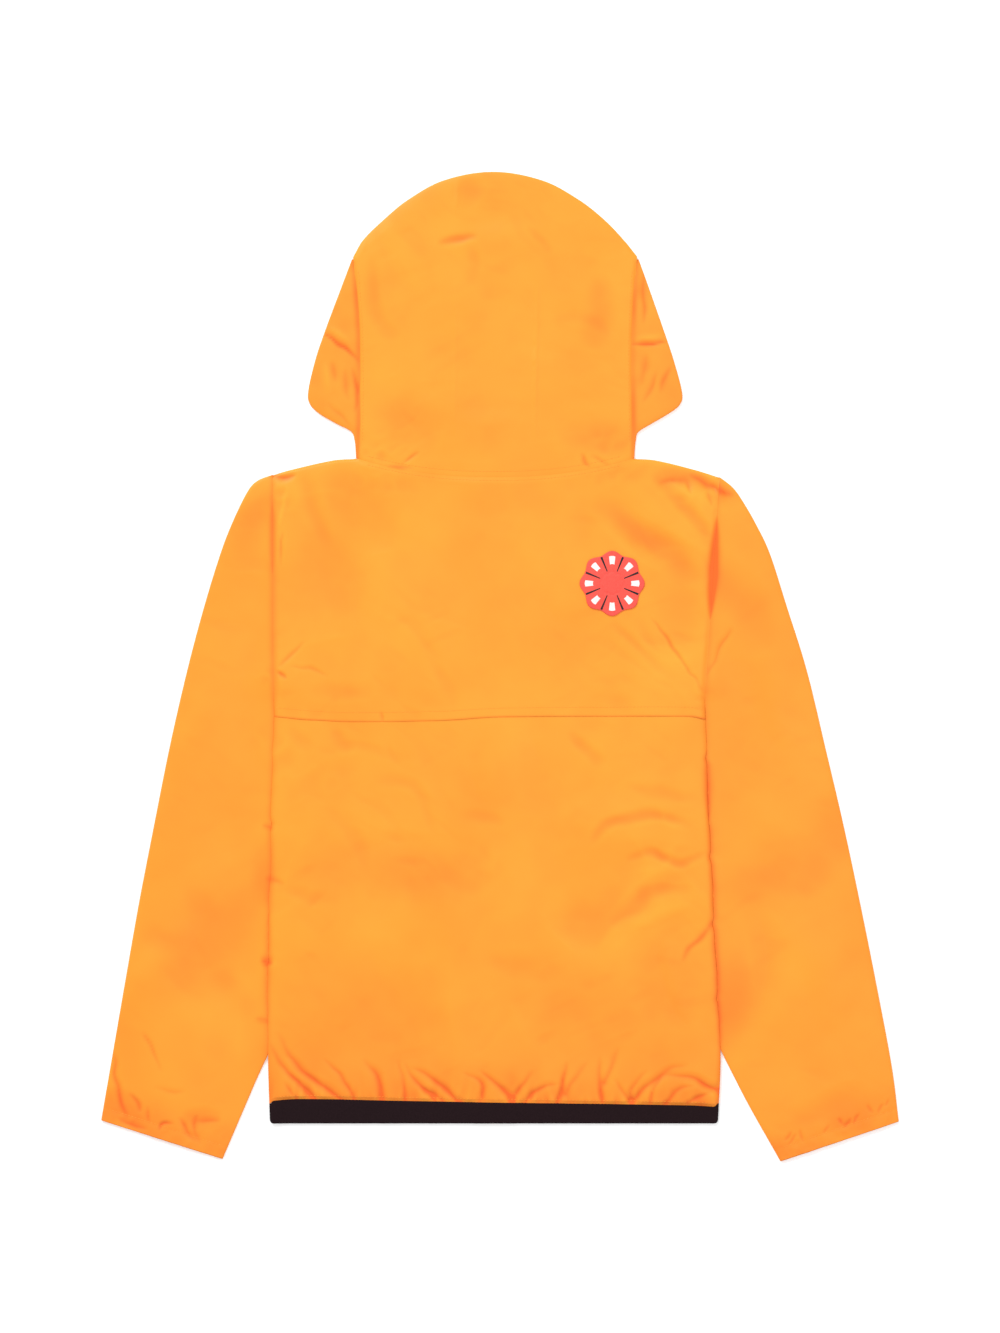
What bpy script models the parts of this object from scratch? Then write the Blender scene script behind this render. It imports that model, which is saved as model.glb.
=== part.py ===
"""A hooded rain jacket of thin nylon, zipped up and laid flat on its front, back uppermost.

+Z is up from the surface that the jacket lies on, +Y points to the crown of the hood and X runs across.
Left and right are the wearer's, so with the back uppermost the left sleeve is at -X. All lengths are metres.
Every cloth piece is a thin wall built from rows of points, and the rows come from the tables below.
"""

import math
from bisect import bisect_right

import bmesh
import bpy
from mathutils import Vector
from mathutils.bvhtree import BVHTree

# Cloth and how the layers lie on each other.
WALL = 0.0010
CLEAR = 0.0003
LOFT = 0.0026
LARGEST_GAP = 0.0038
FOLDED_SLEEVE = 2 * WALL + CLEAR
ROUND = 0.0012

# Body. The centre line is the back's middle and the zip's line.
CENTRE_X = -0.005
ARMPIT_Y = -0.034
HEM_TOP_Y = -0.4365
HEM_Y = -0.4570
NECK_Y = 0.208
NECK_HALF = 0.139
BACK_NECK_DIP = 0.019
FRONT_NECK_DROP = 0.064

# Upper back: a yoke whose loose lower edge lies over the lower back.
FLAP_Y = -0.051
FLAP_LAP = 0.017
FLAP_RAMP = 0.028
FLAP_GAP = 0.0006
FLAP_EDGE = [
    # x, y
    (-0.2262, -0.0500),
    (-0.1600, -0.0545),
    (-0.0600, -0.0535),
    (0.0000, -0.0505),
    (0.1000, -0.0495),
    (0.1900, -0.0495),
    (0.2058, -0.0525),
]

# Hem band, a strip of thicker knit.
BAND_WALL = 0.0012

# Hood.
CREASE_TUCK = 0.010
BRIM_Y = 0.408
HOOD_LOFT = 0.0031
HOOD_EDGE_GAP = 0.0027
SIDE_PUFF = 0.0004

# Zip down the centre front, on the underside: heights are above the surface under the plain part of it.
ZIP_OPENING = 0.0040
TAPE_REACH = 0.016
TAPE_WALL = 0.0007
TAPE_Z = 0.0015
RIB_HALF = 0.0028
RIB_LOW = 0.0002
ZIP_TOP = TAPE_Z + TAPE_WALL
ZIP_TOP_Y = 0.2215

# Slider and pull; the bail is the bridge that holds the pull's bar to the slider.
ZIP_LIFT = 0.00225
SLIDER_Y = 0.2260
SLIDER_SIZE = (0.0074, 0.0120)
SLIDER_PLATE = 0.0006
SLIDER_Z = 0.00175
SLIDER_PLAY = 0.0001
BAIL = (0.0012, 0.0072, 0.0007)
BAIL_Z = (0.0001, 0.0006)
PULL_AXIS = (0.2256, 0.00110)
PULL_BAR = 0.0006
PULL_SIZE = (0.0064, 0.0260)
PULL_WINDOW = (0.0022, 0.0052)

# Patch on the right shoulder blade.
PATCH_CENTRE = (0.112, 0.083)
PATCH_RADIUS = 0.0325
PATCH_LOBES = 8
PATCH_LOBE_DEPTH = 0.10
PATCH_WALL = 0.0008
PATCH_GAP = 0.0003

# Straight armholes: height on the page, left x, right x.
ARMHOLES = [
    # y, left x, right x
    (0.190, -0.2275, 0.2195),
    (-0.034, -0.2262, 0.2050),
]

# Body outline below the armholes.
SIDES = [
    # y, left x, right x
    (-0.034, -0.2262, 0.2050),
    (-0.070, -0.2268, 0.2065),
    (-0.114, -0.2285, 0.2080),
    (-0.184, -0.2295, 0.2110),
    (-0.284, -0.2315, 0.2150),
    (-0.384, -0.2320, 0.2205),
    (-0.457, -0.2300, 0.2180),
]

# Shoulder lines from armhole to neck.
LEFT_SHOULDER = [(-0.2275, 0.1915), (-0.2110, 0.1965), (-0.1665, 0.2065), (-0.1440, 0.2080)]
RIGHT_SHOULDER = [(0.1340, 0.2080), (0.1555, 0.2065), (0.1965, 0.1965), (0.2195, 0.1892)]

# Sleeves lie flat as they fall: each row is a line across the sleeve from its outer to its inner edge.
# The inner edge runs under the body between the armpit and the elbow.
LEFT_SLEEVE = [
    # outer x, outer y, inner x, inner y
    (-0.2278, 0.1915, -0.2265, -0.0340),
    (-0.2420, 0.1862, -0.2265, -0.0358),
    (-0.2520, 0.1760, -0.2265, -0.0376),
    (-0.2660, 0.1480, -0.2264, -0.0415),
    (-0.2790, 0.1150, -0.2260, -0.0460),
    (-0.2960, 0.0600, -0.2250, -0.0530),
    (-0.3130, -0.0040, -0.2190, -0.0780),
    (-0.3300, -0.0780, -0.2040, -0.1240),
    (-0.3460, -0.1580, -0.1950, -0.1900),
    (-0.3615, -0.2380, -0.1970, -0.2620),
    (-0.3755, -0.3180, -0.2140, -0.3440),
    (-0.3890, -0.3960, -0.2465, -0.4200),
    (-0.3990, -0.4538, -0.2775, -0.4926),
]
RIGHT_SLEEVE = [
    # outer x, outer y, inner x, inner y
    (0.2198, 0.1892, 0.2053, -0.0340),
    (0.2325, 0.1795, 0.2053, -0.0358),
    (0.2420, 0.1668, 0.2053, -0.0376),
    (0.2558, 0.1430, 0.2052, -0.0415),
    (0.2700, 0.1130, 0.2048, -0.0460),
    (0.2870, 0.0600, 0.2035, -0.0530),
    (0.3070, -0.0040, 0.1975, -0.0780),
    (0.3260, -0.0830, 0.1840, -0.1240),
    (0.3440, -0.1600, 0.1770, -0.1900),
    (0.3610, -0.2400, 0.1830, -0.2620),
    (0.3770, -0.3200, 0.2040, -0.3440),
    (0.3920, -0.4000, 0.2400, -0.4220),
    (0.3990, -0.4550, 0.2805, -0.4950),
]

# Crown of the hood, from the left crease over the top to the right crease.
CROWN = [
    # x, y
    (-0.1468, 0.4100),
    (-0.1375, 0.4260),
    (-0.1175, 0.4460),
    (-0.0935, 0.4660),
    (-0.0575, 0.4860),
    (-0.0070, 0.4950),
    (0.0435, 0.4860),
    (0.0805, 0.4660),
    (0.1055, 0.4460),
    (0.1245, 0.4260),
    (0.1370, 0.4105),
]

# Creases where the hood's back lies over its sides: height, left x, right x.
CREASES = [
    # y, left x, right x
    (0.410, -0.1468, 0.1370),
    (0.330, -0.1415, 0.1330),
    (0.240, -0.1415, 0.1335),
    (0.208, -0.1430, 0.1340),
]

# Hood sides: each row runs from the outer fold round to the face opening, and below the chin to the zip.
LEFT_HOOD_SIDE = [
    # outer x, outer y, inner x, inner y, share of the way to the front neckline
    (-0.1482, 0.4072, -0.0710, 0.4072, 0.0),
    (-0.1600, 0.3760, -0.0870, 0.3760, 0.0),
    (-0.1750, 0.3360, -0.0950, 0.3360, 0.0),
    (-0.1850, 0.3060, -0.0910, 0.3110, 0.0),
    (-0.1918, 0.2760, -0.0790, 0.2840, 0.0),
    (-0.1905, 0.2630, -0.0590, 0.2640, 0.0),
    (-0.1810, 0.2530, -0.0340, 0.2490, 0.0),
    (-0.1640, 0.2430, -0.0092, 0.2400, 0.0),
    (-0.1490, 0.2350, -0.0092, 0.2260, 0.2),
    (-0.1455, 0.2260, -0.0092, 0.2040, 0.5),
    (-0.1445, 0.2170, -0.0092, 0.1740, 0.8),
    (-0.1440, 0.2086, -0.0092, 0.1445, 1.0),
]
RIGHT_HOOD_SIDE = [
    # outer x, outer y, inner x, inner y, share of the way to the front neckline
    (0.1388, 0.4072, 0.0610, 0.4072, 0.0),
    (0.1500, 0.3760, 0.0770, 0.3760, 0.0),
    (0.1640, 0.3360, 0.0850, 0.3360, 0.0),
    (0.1740, 0.3060, 0.0810, 0.3110, 0.0),
    (0.1822, 0.2745, 0.0690, 0.2840, 0.0),
    (0.1800, 0.2620, 0.0490, 0.2640, 0.0),
    (0.1690, 0.2530, 0.0240, 0.2490, 0.0),
    (0.1520, 0.2430, -0.0008, 0.2400, 0.0),
    (0.1385, 0.2345, -0.0008, 0.2260, 0.2),
    (0.1360, 0.2260, -0.0008, 0.2040, 0.5),
    (0.1350, 0.2170, -0.0008, 0.1740, 0.8),
    (0.1345, 0.2086, -0.0008, 0.1445, 1.0),
]

# Soft waves that lift both layers off the surface.
WAVES = [
    # x1, y1, x2, y2, half width, height
    (-0.150, 0.090, -0.030, 0.010, 0.055, 0.0022),
    (0.060, 0.070, 0.150, 0.130, 0.050, 0.0024),
    (0.080, -0.150, 0.130, -0.215, 0.048, 0.0026),
    (-0.120, -0.190, -0.020, -0.280, 0.060, 0.0022),
    (-0.040, -0.110, 0.060, -0.090, 0.045, 0.0016),
    (-0.270, 0.040, -0.300, -0.080, 0.030, 0.0018),
    (-0.320, -0.260, -0.345, -0.370, 0.034, 0.0022),
    (0.265, 0.020, 0.300, -0.090, 0.030, 0.0018),
    (0.315, -0.240, 0.345, -0.360, 0.036, 0.0022),
    (-0.060, 0.420, 0.040, 0.430, 0.034, 0.0014),
]

# Folds in the upper layer alone; a trough has a negative height.
FOLDS = [
    # x1, y1, x2, y2, half width, height
    (-0.217, 0.166, -0.228, 0.096, 0.009, 0.0014),
    (-0.222, -0.008, -0.192, 0.014, 0.009, 0.0012),
    (-0.226, -0.024, -0.206, -0.022, 0.008, -0.0013),
    (-0.206, 0.186, -0.170, 0.140, 0.020, -0.0010),
    (0.100, 0.158, 0.196, 0.100, 0.024, -0.0017),
    (0.082, 0.180, 0.178, 0.142, 0.016, 0.0010),
    (0.152, 0.046, 0.204, -0.022, 0.008, -0.0014),
    (0.162, 0.054, 0.206, -0.004, 0.010, 0.0009),
    (0.086, 0.040, 0.142, -0.010, 0.012, -0.0009),
    (0.032, 0.166, 0.062, 0.104, 0.012, -0.0008),
    (0.222, 0.148, 0.211, 0.010, 0.008, -0.0016),
    (0.230, 0.030, 0.212, -0.014, 0.009, -0.0012),
    (-0.232, 0.160, -0.231, -0.010, 0.006, -0.0010),
    (0.190, 0.180, 0.238, 0.160, 0.014, -0.0012),
    (0.060, -0.086, 0.100, -0.112, 0.014, -0.0010),
    (0.100, -0.152, 0.152, -0.166, 0.014, 0.0012),
    (0.152, -0.166, 0.206, -0.150, 0.012, 0.0010),
    (0.100, -0.226, 0.160, -0.196, 0.018, -0.0014),
    (0.186, -0.286, 0.206, -0.256, 0.008, -0.0013),
    (-0.226, -0.090, -0.180, -0.160, 0.022, -0.0010),
    (-0.150, -0.140, -0.090, -0.090, 0.020, 0.0010),
    (-0.228, -0.236, -0.196, -0.300, 0.018, 0.0010),
    (-0.100, -0.330, 0.010, -0.350, 0.022, -0.0010),
    (-0.290, -0.190, -0.250, -0.240, 0.018, -0.0010),
    (-0.236, -0.368, -0.250, -0.372, 0.008, -0.0012),
    (-0.316, -0.236, -0.292, -0.300, 0.012, 0.0010),
    (-0.372, -0.330, -0.366, -0.420, 0.012, -0.0014),
    (0.236, -0.240, 0.262, -0.330, 0.018, -0.0012),
    (0.290, -0.130, 0.340, -0.190, 0.020, 0.0010),
    (0.226, -0.110, 0.240, -0.170, 0.012, -0.0010),
    (-0.044, 0.430, -0.028, 0.432, 0.008, -0.0013),
    (0.030, 0.442, 0.060, 0.428, 0.012, -0.0008),
    (0.070, 0.330, 0.120, 0.300, 0.020, -0.0010),
    (-0.130, 0.340, -0.100, 0.290, 0.020, -0.0009),
    (-0.078, 0.208, -0.060, 0.222, 0.008, -0.0013),
    (0.094, 0.206, 0.082, 0.222, 0.008, -0.0013),
    (-0.110, 0.196, -0.064, 0.192, 0.010, -0.0010),
]

# Folds across the hood's sides, under the crease.
SIDE_FOLDS = [
    # x1, y1, x2, y2, half width, height
    (-0.181, 0.330, -0.142, 0.304, 0.006, -0.0012),
    (-0.176, 0.316, -0.172, 0.276, 0.006, -0.0009),
    (-0.160, 0.312, -0.158, 0.262, 0.006, 0.0009),
    (0.133, 0.322, 0.170, 0.324, 0.006, -0.0012),
    (0.156, 0.296, 0.138, 0.256, 0.006, -0.0009),
    (0.170, 0.288, 0.156, 0.268, 0.006, -0.0009),
]

# Gathers that the hem band draws in across the back.
HEM_GATHERS = [
    # x at the band, x at the top, height above the band, depth
    (-0.211, -0.221, 0.020, 0.0008),
    (-0.182, -0.224, 0.046, 0.0018),
    (-0.155, -0.217, 0.058, 0.0020),
    (-0.144, -0.176, 0.038, 0.0015),
    (-0.118, -0.131, 0.034, 0.0016),
    (-0.094, -0.101, 0.026, 0.0010),
    (-0.072, -0.094, 0.032, 0.0016),
    (-0.056, -0.080, 0.034, 0.0016),
    (-0.042, -0.062, 0.020, 0.0013),
    (-0.022, -0.036, 0.026, 0.0010),
    (0.009, -0.018, 0.028, 0.0018),
    (0.017, 0.030, 0.026, 0.0015),
    (0.034, 0.055, 0.022, 0.0014),
    (0.057, 0.067, 0.032, 0.0015),
    (0.072, 0.086, 0.034, 0.0011),
    (0.101, 0.099, 0.032, 0.0013),
    (0.109, 0.119, 0.050, 0.0010),
    (0.125, 0.117, 0.018, 0.0010),
    (0.132, 0.144, 0.028, 0.0015),
    (0.142, 0.184, 0.036, 0.0020),
    (0.158, 0.170, 0.022, 0.0014),
    (0.170, 0.216, 0.024, 0.0016),
    (0.188, 0.204, 0.012, 0.0010),
]
GATHER_HALF = 0.0068
FRONT_GATHERS = 11
FRONT_GATHER_DEPTH = 0.0016
CUFF_GATHERS = 10
CUFF_GATHER_REACH = 0.036
CUFF_GATHER_DEPTH = 0.0013

# How finely the walls are divided.
COARSE_STEP = 0.028
SIDE_COLUMNS = [0.0, 0.012, 0.026, 0.042, 0.058, 0.076]
FRONT_SHARES = [0.0, 0.07, 0.20, 0.36, 0.52, 0.68, 0.84]
HEM_STEP = 0.0066
HEM_HEIGHTS = [0.058, 0.044, 0.031, 0.020, 0.009, 0.0]
FRONT_HEM_HEIGHTS = [0.036, 0.018, 0.0]
SLEEVE_STATIONS = 13
CUFF_HEIGHTS = [0.038, 0.022, 0.009, 0.0]
HOOD_SIDE_ROWS = 14

NYLON = ("nylon", (0.97, 0.38, 0.045), 0.5, 0.0)
KNIT = ("hem_knit", (0.020, 0.014, 0.016), 0.85, 0.0)
TAPE = ("zip_tape", (0.80, 0.30, 0.04), 0.7, 0.0)
METAL = ("zip_metal", (0.05, 0.05, 0.055), 0.4, 0.8)
RED = ("patch_thread", (0.80, 0.06, 0.04), 0.7, 0.0)


def step(low, high, value):
    """0 below low, 1 above high and smooth between; low may be the larger."""
    t = min(1.0, max(0.0, (value - low) / (high - low)))
    return t * t * (3 - 2 * t)


def rise(distance, reach):
    """The height of a rounded edge, from 0 at the edge to 1 a reach inside it."""
    t = min(1.0, max(0.0, distance / reach))
    return math.sqrt(1 - (1 - t) ** 2)


def spaced(first, last, gap):
    """Even values from first to last, about a gap apart."""
    count = max(1, round(abs(last - first) / gap))
    return [first + (last - first) * i / count for i in range(count + 1)]


def spline(table, at):
    """The other columns of a table at a value of its first column, on a smooth curve through the rows."""
    knots = [row[0] for row in table]
    if knots[0] > knots[-1]:
        table, knots = table[::-1], knots[::-1]
    k = min(max(bisect_right(knots, at) - 1, 0), len(table) - 2)
    span = knots[k + 1] - knots[k]
    t = min(1.0, max(0.0, (at - knots[k]) / span))

    def slope(i, column):
        a, b = max(i - 1, 0), min(i + 1, len(table) - 1)
        return (table[b][column] - table[a][column]) / (knots[b] - knots[a]) * span

    return [
        table[k][c] * (1 + 2 * t) * (1 - t) ** 2
        + slope(k, c) * t * (1 - t) ** 2
        + table[k + 1][c] * t * t * (3 - 2 * t)
        - slope(k + 1, c) * t * t * (1 - t)
        for c in range(1, len(table[0]))
    ]


def row_at(table, share):
    """A row of a table of stations at a share of the way down it, on a smooth curve."""
    numbered = [(i, *row) for i, row in enumerate(table)]
    return spline(numbered, share * (len(table) - 1))


def crease(x, y, row):
    """Height of one fold at a point: a rounded ridge along a line, nothing beyond its half width."""
    x1, y1, x2, y2, half, height = row
    along = Vector((x2 - x1, y2 - y1))
    away = Vector((x - x1, y - y1))
    t = min(1.0, max(0.0, away.dot(along) / along.length_squared))
    share = (away - along * t).length / half
    return height * (1 - share * share) ** 2 if share < 1 else 0.0


def side_x(y):
    """Left and right edges of the body."""
    if y < ARMPIT_Y:
        return spline(SIDES, y)
    (top, *upper), (bottom, *lower) = ARMHOLES
    t = min(1.0, (top - y) / (top - bottom)) if y < top else 0.0
    return [a + (b - a) * t for a, b in zip(upper, lower)]


def inside_side(x, y):
    """How far a point is inside the nearer side edge of the body."""
    left, right = side_x(y)
    return min(x - left, right - x)


def shoulder_y(x):
    return spline(LEFT_SHOULDER if x < CENTRE_X else RIGHT_SHOULDER, x)[0]


def neck_share(x):
    """1 at the centre line, 0 at the neck point and beyond."""
    return 1 - min(1.0, abs(x - CENTRE_X) / NECK_HALF)


def back_top_y(x):
    across = 1 - neck_share(x)
    return NECK_Y - BACK_NECK_DIP * (1 - across**2.2) if across < 1 else shoulder_y(x)


def front_top_y(x):
    across = 1 - neck_share(x)
    return NECK_Y - FRONT_NECK_DROP * (1 - across**1.8) if across < 1 else shoulder_y(x)


def below_armpit(y):
    return step(ARMPIT_Y + 0.026, ARMPIT_Y - 0.004, y)


def waves(x, y):
    return sum(crease(x, y, row) for row in WAVES)


def folds(x, y):
    return sum(crease(x, y, row) for row in FOLDS)


def inner_edge(table):
    """The inner edge of a sleeve as rows of height and x."""
    return [(row[3], row[2]) for row in table]


LEFT_INNER, RIGHT_INNER = inner_edge(LEFT_SLEEVE), inner_edge(RIGHT_SLEEVE)


def over_sleeve(x, y):
    """How much of the folded sleeve's height the body rides up over it here, from 0 to 1."""
    held_back = 0.060 * step(ARMPIT_Y + 0.004, ARMPIT_Y + 0.055, y)
    start, full = 0.044, 0.018
    past_left = spline(LEFT_INNER, y)[0] - held_back - x
    past_right = x - (spline(RIGHT_INNER, y)[0] + held_back)
    return step(-start, -full, max(past_left, past_right))


def zip_lift(x, y):
    """The slider and its pull hold the centre front off the surface around them."""
    across = step(0.055, 0.012, abs(x - CENTRE_X))
    return ZIP_LIFT * across * step(0.150, 0.185, y) * step(0.262, 0.240, y)


def body_floor(x, y):
    """Underside of the fronts."""
    return (FOLDED_SLEEVE + CLEAR) * over_sleeve(x, y) + waves(x, y) + zip_lift(x, y)


def zip_ridge(x):
    """Least gap over the zip tapes."""
    room = ZIP_TOP + CLEAR - WALL
    return room * step(TAPE_REACH + 0.014, TAPE_REACH + 0.002, abs(x - CENTRE_X))


def body_gap(x, y):
    """Air between the fronts and the back: most in the middle, least at folded and sewn edges."""
    side = 1 - below_armpit(y) * (1 - rise(inside_side(x, y), 0.040))
    at_neck = step(0.0, 0.10, neck_share(x))
    top = at_neck + (1 - at_neck) * rise(shoulder_y(x) - y, 0.026)
    hem = 0.30 + 0.70 * rise(y - HEM_TOP_Y, 0.070)
    gap = CLEAR + LOFT * side * top * hem + folds(x, y) * side
    return min(LARGEST_GAP, max(CLEAR, zip_ridge(x), gap))


def hem_gather(x, y):
    """Depth of the gathers over the band, at most one deep."""
    up = y - HEM_TOP_Y
    deepest = 0.0
    for at_band, at_top, reach, depth in HEM_GATHERS:
        t = up / reach
        if t < 1:
            share = abs(x - at_band - (at_top - at_band) * t) / GATHER_HALF
            if share < 1:
                fade = (1 - t * t) * (0.45 + 0.55 * min(1, up / 0.008))
                deepest = max(deepest, depth * (1 - share * share) * fade)
    return deepest


def front_gather(x, y):
    """Even, shallow gathers of the fronts over the band."""
    up = y - HEM_TOP_Y
    reach = 0.034
    if up > reach:
        return 0.0
    wave = 0.5 - 0.5 * math.cos(2 * math.pi * FRONT_GATHERS * (x - CENTRE_X) / 0.220)
    from_zip = abs(x - CENTRE_X) - TAPE_REACH
    return FRONT_GATHER_DEPTH * wave * (1 - up / reach) * step(0.0, 0.030, min(inside_side(x, y), from_zip))


def front_z(x, y):
    """Underside of the fronts, gathers included."""
    return body_floor(x, y) + 0.35 * front_gather(x, y)


def back_z(x, y):
    """Underside of the back."""
    puff = 0.0011 * step(0.055, 0.012, y - HEM_TOP_Y) * step(0.0, 0.02, inside_side(x, y))
    plain = body_floor(x, y) + WALL + body_gap(x, y) + puff
    least = front_z(x, y) + WALL + max(CLEAR, zip_ridge(x))
    return max(least, plain - hem_gather(x, y))


def flap_lift(y):
    """The yoke rises over the top of the lower back."""
    full = FLAP_Y + FLAP_LAP + 0.010
    return (WALL + FLAP_GAP) * step(full + FLAP_RAMP, full, y)


def yoke_z(x, y):
    return back_z(x, y) + flap_lift(y)


def material(kind):
    name, colour, roughness, metallic = kind
    found = bpy.data.materials.get(name)
    if found:
        return found
    made = bpy.data.materials.new(name)
    made.use_nodes = True
    shader = made.node_tree.nodes["Principled BSDF"]
    shader.inputs["Base Color"].default_value = (*colour, 1.0)
    shader.inputs["Roughness"].default_value = roughness
    shader.inputs["Metallic"].default_value = metallic
    made.diffuse_color = (*colour, 1.0)
    return made


def add_object(name, bm, kind):
    bmesh.ops.recalc_face_normals(bm, faces=bm.faces)
    mesh = bpy.data.meshes.new(name)
    bm.to_mesh(mesh)
    bm.free()
    mesh.materials.append(material(kind))
    mesh.shade_smooth()
    mesh.set_sharp_from_angle(angle=math.radians(50))
    made = bpy.data.objects.new(name, mesh)
    bpy.context.scene.collection.objects.link(made)
    return made


def zip_rows(bm, first, second):
    """Fills between two rows of (share, vertex) that may hold different numbers of points."""
    i = j = 0
    while i < len(first) - 1 or j < len(second) - 1:
        if j == len(second) - 1 or (i < len(first) - 1 and first[i + 1][0] <= second[j + 1][0]):
            bm.faces.new((first[i][1], first[i + 1][1], second[j][1]))
            i += 1
        else:
            bm.faces.new((first[i][1], second[j + 1][1], second[j][1]))
            j += 1


def wall(name, rows, kind, closed=False):
    """A cloth wall from rows of (share, outer point, inner point); closed rows make a tube with open ends."""
    bm = bmesh.new()
    outer = [[(u, bm.verts.new(p)) for u, p, _ in row] for row in rows]
    inner = [[(u, bm.verts.new(p)) for u, _, p in row] for row in rows]
    if closed:
        for row in outer + inner:
            row.append((1.0, row[0][1]))
    for side in (outer, inner):
        for first, second in zip(side, side[1:]):
            zip_rows(bm, first, second)
    for a, b in ((outer[0], inner[0]), (outer[-1], inner[-1])):
        for k in range(len(a) - 1):
            bm.faces.new((a[k][1], a[k + 1][1], b[k + 1][1], b[k][1]))
    if not closed:
        for end in (0, -1):
            for k in range(len(rows) - 1):
                bm.faces.new((outer[k][end][1], outer[k + 1][end][1], inner[k + 1][end][1], inner[k][end][1]))
    return add_object(name, bm, kind)


def sheet_row(points, height, thick=WALL):
    """A row of a sheet that lies under the sky: its outer side is thick above its underside."""
    last = len(points) - 1
    return [
        (i / last, Vector((x, y, height(x, y) + thick)), Vector((x, y, height(x, y))))
        for i, (x, y) in enumerate(points)
    ]


def body_columns(outer, inner, gap):
    """Values of x across the body, close together at the sides, where it climbs over the sleeves.

    Columns start at outer; they are also close together at inner if that is the other side.
    """
    way = 1 if inner > outer else -1
    near = [outer + way * d for d in SIDE_COLUMNS[:-1]]
    whole = abs(inner - outer) > 0.3
    far = [inner - way * d for d in SIDE_COLUMNS[-2::-1]] if whole else []
    last = inner - way * SIDE_COLUMNS[-1] if whole else inner
    return near + spaced(outer + way * SIDE_COLUMNS[-1], last, gap) + far


def body_rows():
    """Heights on the page of the rows shared by both layers between the armpits and the hem's gathers."""
    first = [FLAP_Y + FLAP_LAP, FLAP_Y + FLAP_LAP / 2, FLAP_Y, FLAP_Y - 0.019]
    return first + spaced(first[-1] - 0.030, HEM_TOP_Y + HEM_HEIGHTS[0] + 0.024, 0.038)


def back_yoke():
    rows = []
    flap = [FLAP_LAP + 0.024, FLAP_LAP + 0.010, FLAP_LAP, FLAP_LAP / 2, 0.0]
    lowest = FLAP_Y + flap[0]
    for v in [0.0, 0.05, 0.14, 0.27, 0.41, 0.55, 0.69, 0.83]:

        def y_of(x, v=v):
            top = back_top_y(x) - CLEAR
            return top + (lowest - top) * v

        left, right = side_x(y_of(ARMHOLES[0][1]))[0], side_x(y_of(ARMHOLES[0][2]))[1]
        rows.append(sheet_row([(x, y_of(x)) for x in body_columns(left, right, COARSE_STEP)], yoke_z))
    for up in flap:
        left, right = side_x(FLAP_Y + up)
        columns = body_columns(left, right, COARSE_STEP)
        points = [(x, FLAP_Y + up if up else spline(FLAP_EDGE, x)[0]) for x in columns]
        rows.append(sheet_row(points, yoke_z))
    return wall("back_yoke", rows, NYLON)


def back_lower():
    rows = []
    for y in body_rows():
        left, right = side_x(y)
        rows.append(sheet_row([(x, y) for x in body_columns(left, right, COARSE_STEP)], back_z))
    for up in HEM_HEIGHTS:
        y = HEM_TOP_Y + up
        left, right = side_x(y)
        rows.append(sheet_row([(x, y) for x in spaced(left, right, HEM_STEP)], back_z))
    return wall("back_lower", rows, NYLON)


def front(side):
    """One front, on the underside, from the shoulder to the hem band and from the side seam to the zip."""
    rows = []
    edge = CENTRE_X + side * ZIP_OPENING
    which = 0 if side < 0 else 1
    lowest = body_rows()[0]
    for v in FRONT_SHARES:

        def y_of(x, v=v):
            top = front_top_y(x) - CLEAR
            return top + (lowest - top) * v

        outer = side_x(y_of(ARMHOLES[0][1 + which]))[which]
        rows.append(sheet_row([(x, y_of(x)) for x in body_columns(outer, edge, COARSE_STEP)], front_z))
    for y in body_rows():
        outer = side_x(y)[which]
        rows.append(sheet_row([(x, y) for x in body_columns(outer, edge, COARSE_STEP)], front_z))
    for up in FRONT_HEM_HEIGHTS:
        y = HEM_TOP_Y + up
        outer = side_x(y)[which]
        rows.append(sheet_row([(x, y) for x in spaced(outer, edge, HEM_STEP * 1.3)], front_z))
    return wall("front_left" if side < 0 else "front_right", rows, NYLON)


def fold_row(top, edge, inward, bottom, thick=WALL):
    """A row of cloth folded round an edge: points of the upper layer, the edge, then points of the lower one.

    Layers are (x, y, underside height); edge is (x, y, height), and inward points away from it into the fold.
    """
    x, y, z = edge
    tucked = Vector((x, y, z)) + inward * thick
    samples = [(Vector((a, b, c + thick)), Vector((a, b, c))) for a, b, c in top]
    samples.append((Vector((x, y, z)), tucked))
    samples += [(Vector((a, b, c)), Vector((a, b, c + thick))) for a, b, c in bottom]
    last = len(samples) - 1
    return [(i / last, p, q) for i, (p, q) in enumerate(samples)]


def sleeve_heights(x, y, from_outer, from_inner, to_cuff):
    """Undersides of the lower and of the upper layer of a sleeve."""
    width = from_outer + from_inner
    beneath = below_armpit(y) * step(0.046, 0.020, -inside_side(x, y))
    floor = waves(x, y) * (1 - beneath)
    edges = rise(from_outer, 0.034) * rise(from_inner, 0.034)
    at_cuff = 0.45 + 0.55 * step(0.0, 0.060, to_cuff)
    gap = CLEAR + (LOFT * at_cuff + folds(x, y)) * edges * (1 - beneath)
    if to_cuff < CUFF_GATHER_REACH:
        share = from_outer / width
        wave = 0.5 + 0.5 * math.cos(2 * math.pi * (CUFF_GATHERS * share + 0.5 * math.sin(5 * share)))
        fade = (1 - to_cuff / CUFF_GATHER_REACH) * (0.4 + 0.6 * min(1.0, to_cuff / 0.008))
        gap += CUFF_GATHER_DEPTH * (wave - 0.35) * fade * edges
    return floor, floor + WALL + min(LARGEST_GAP, max(CLEAR, gap))


def slant(table, s, column, row_way):
    """Sine of the angle between a row and the sleeve's edge at one end of it, never taken as very small."""
    span = 0.004
    before, after = row_at(table, max(0.0, s - span)), row_at(table, min(1.0, s + span))
    along = Vector((after[column] - before[column], after[column + 1] - before[column + 1]))
    return max(0.25, abs(along.normalized().cross(row_way)))


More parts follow.
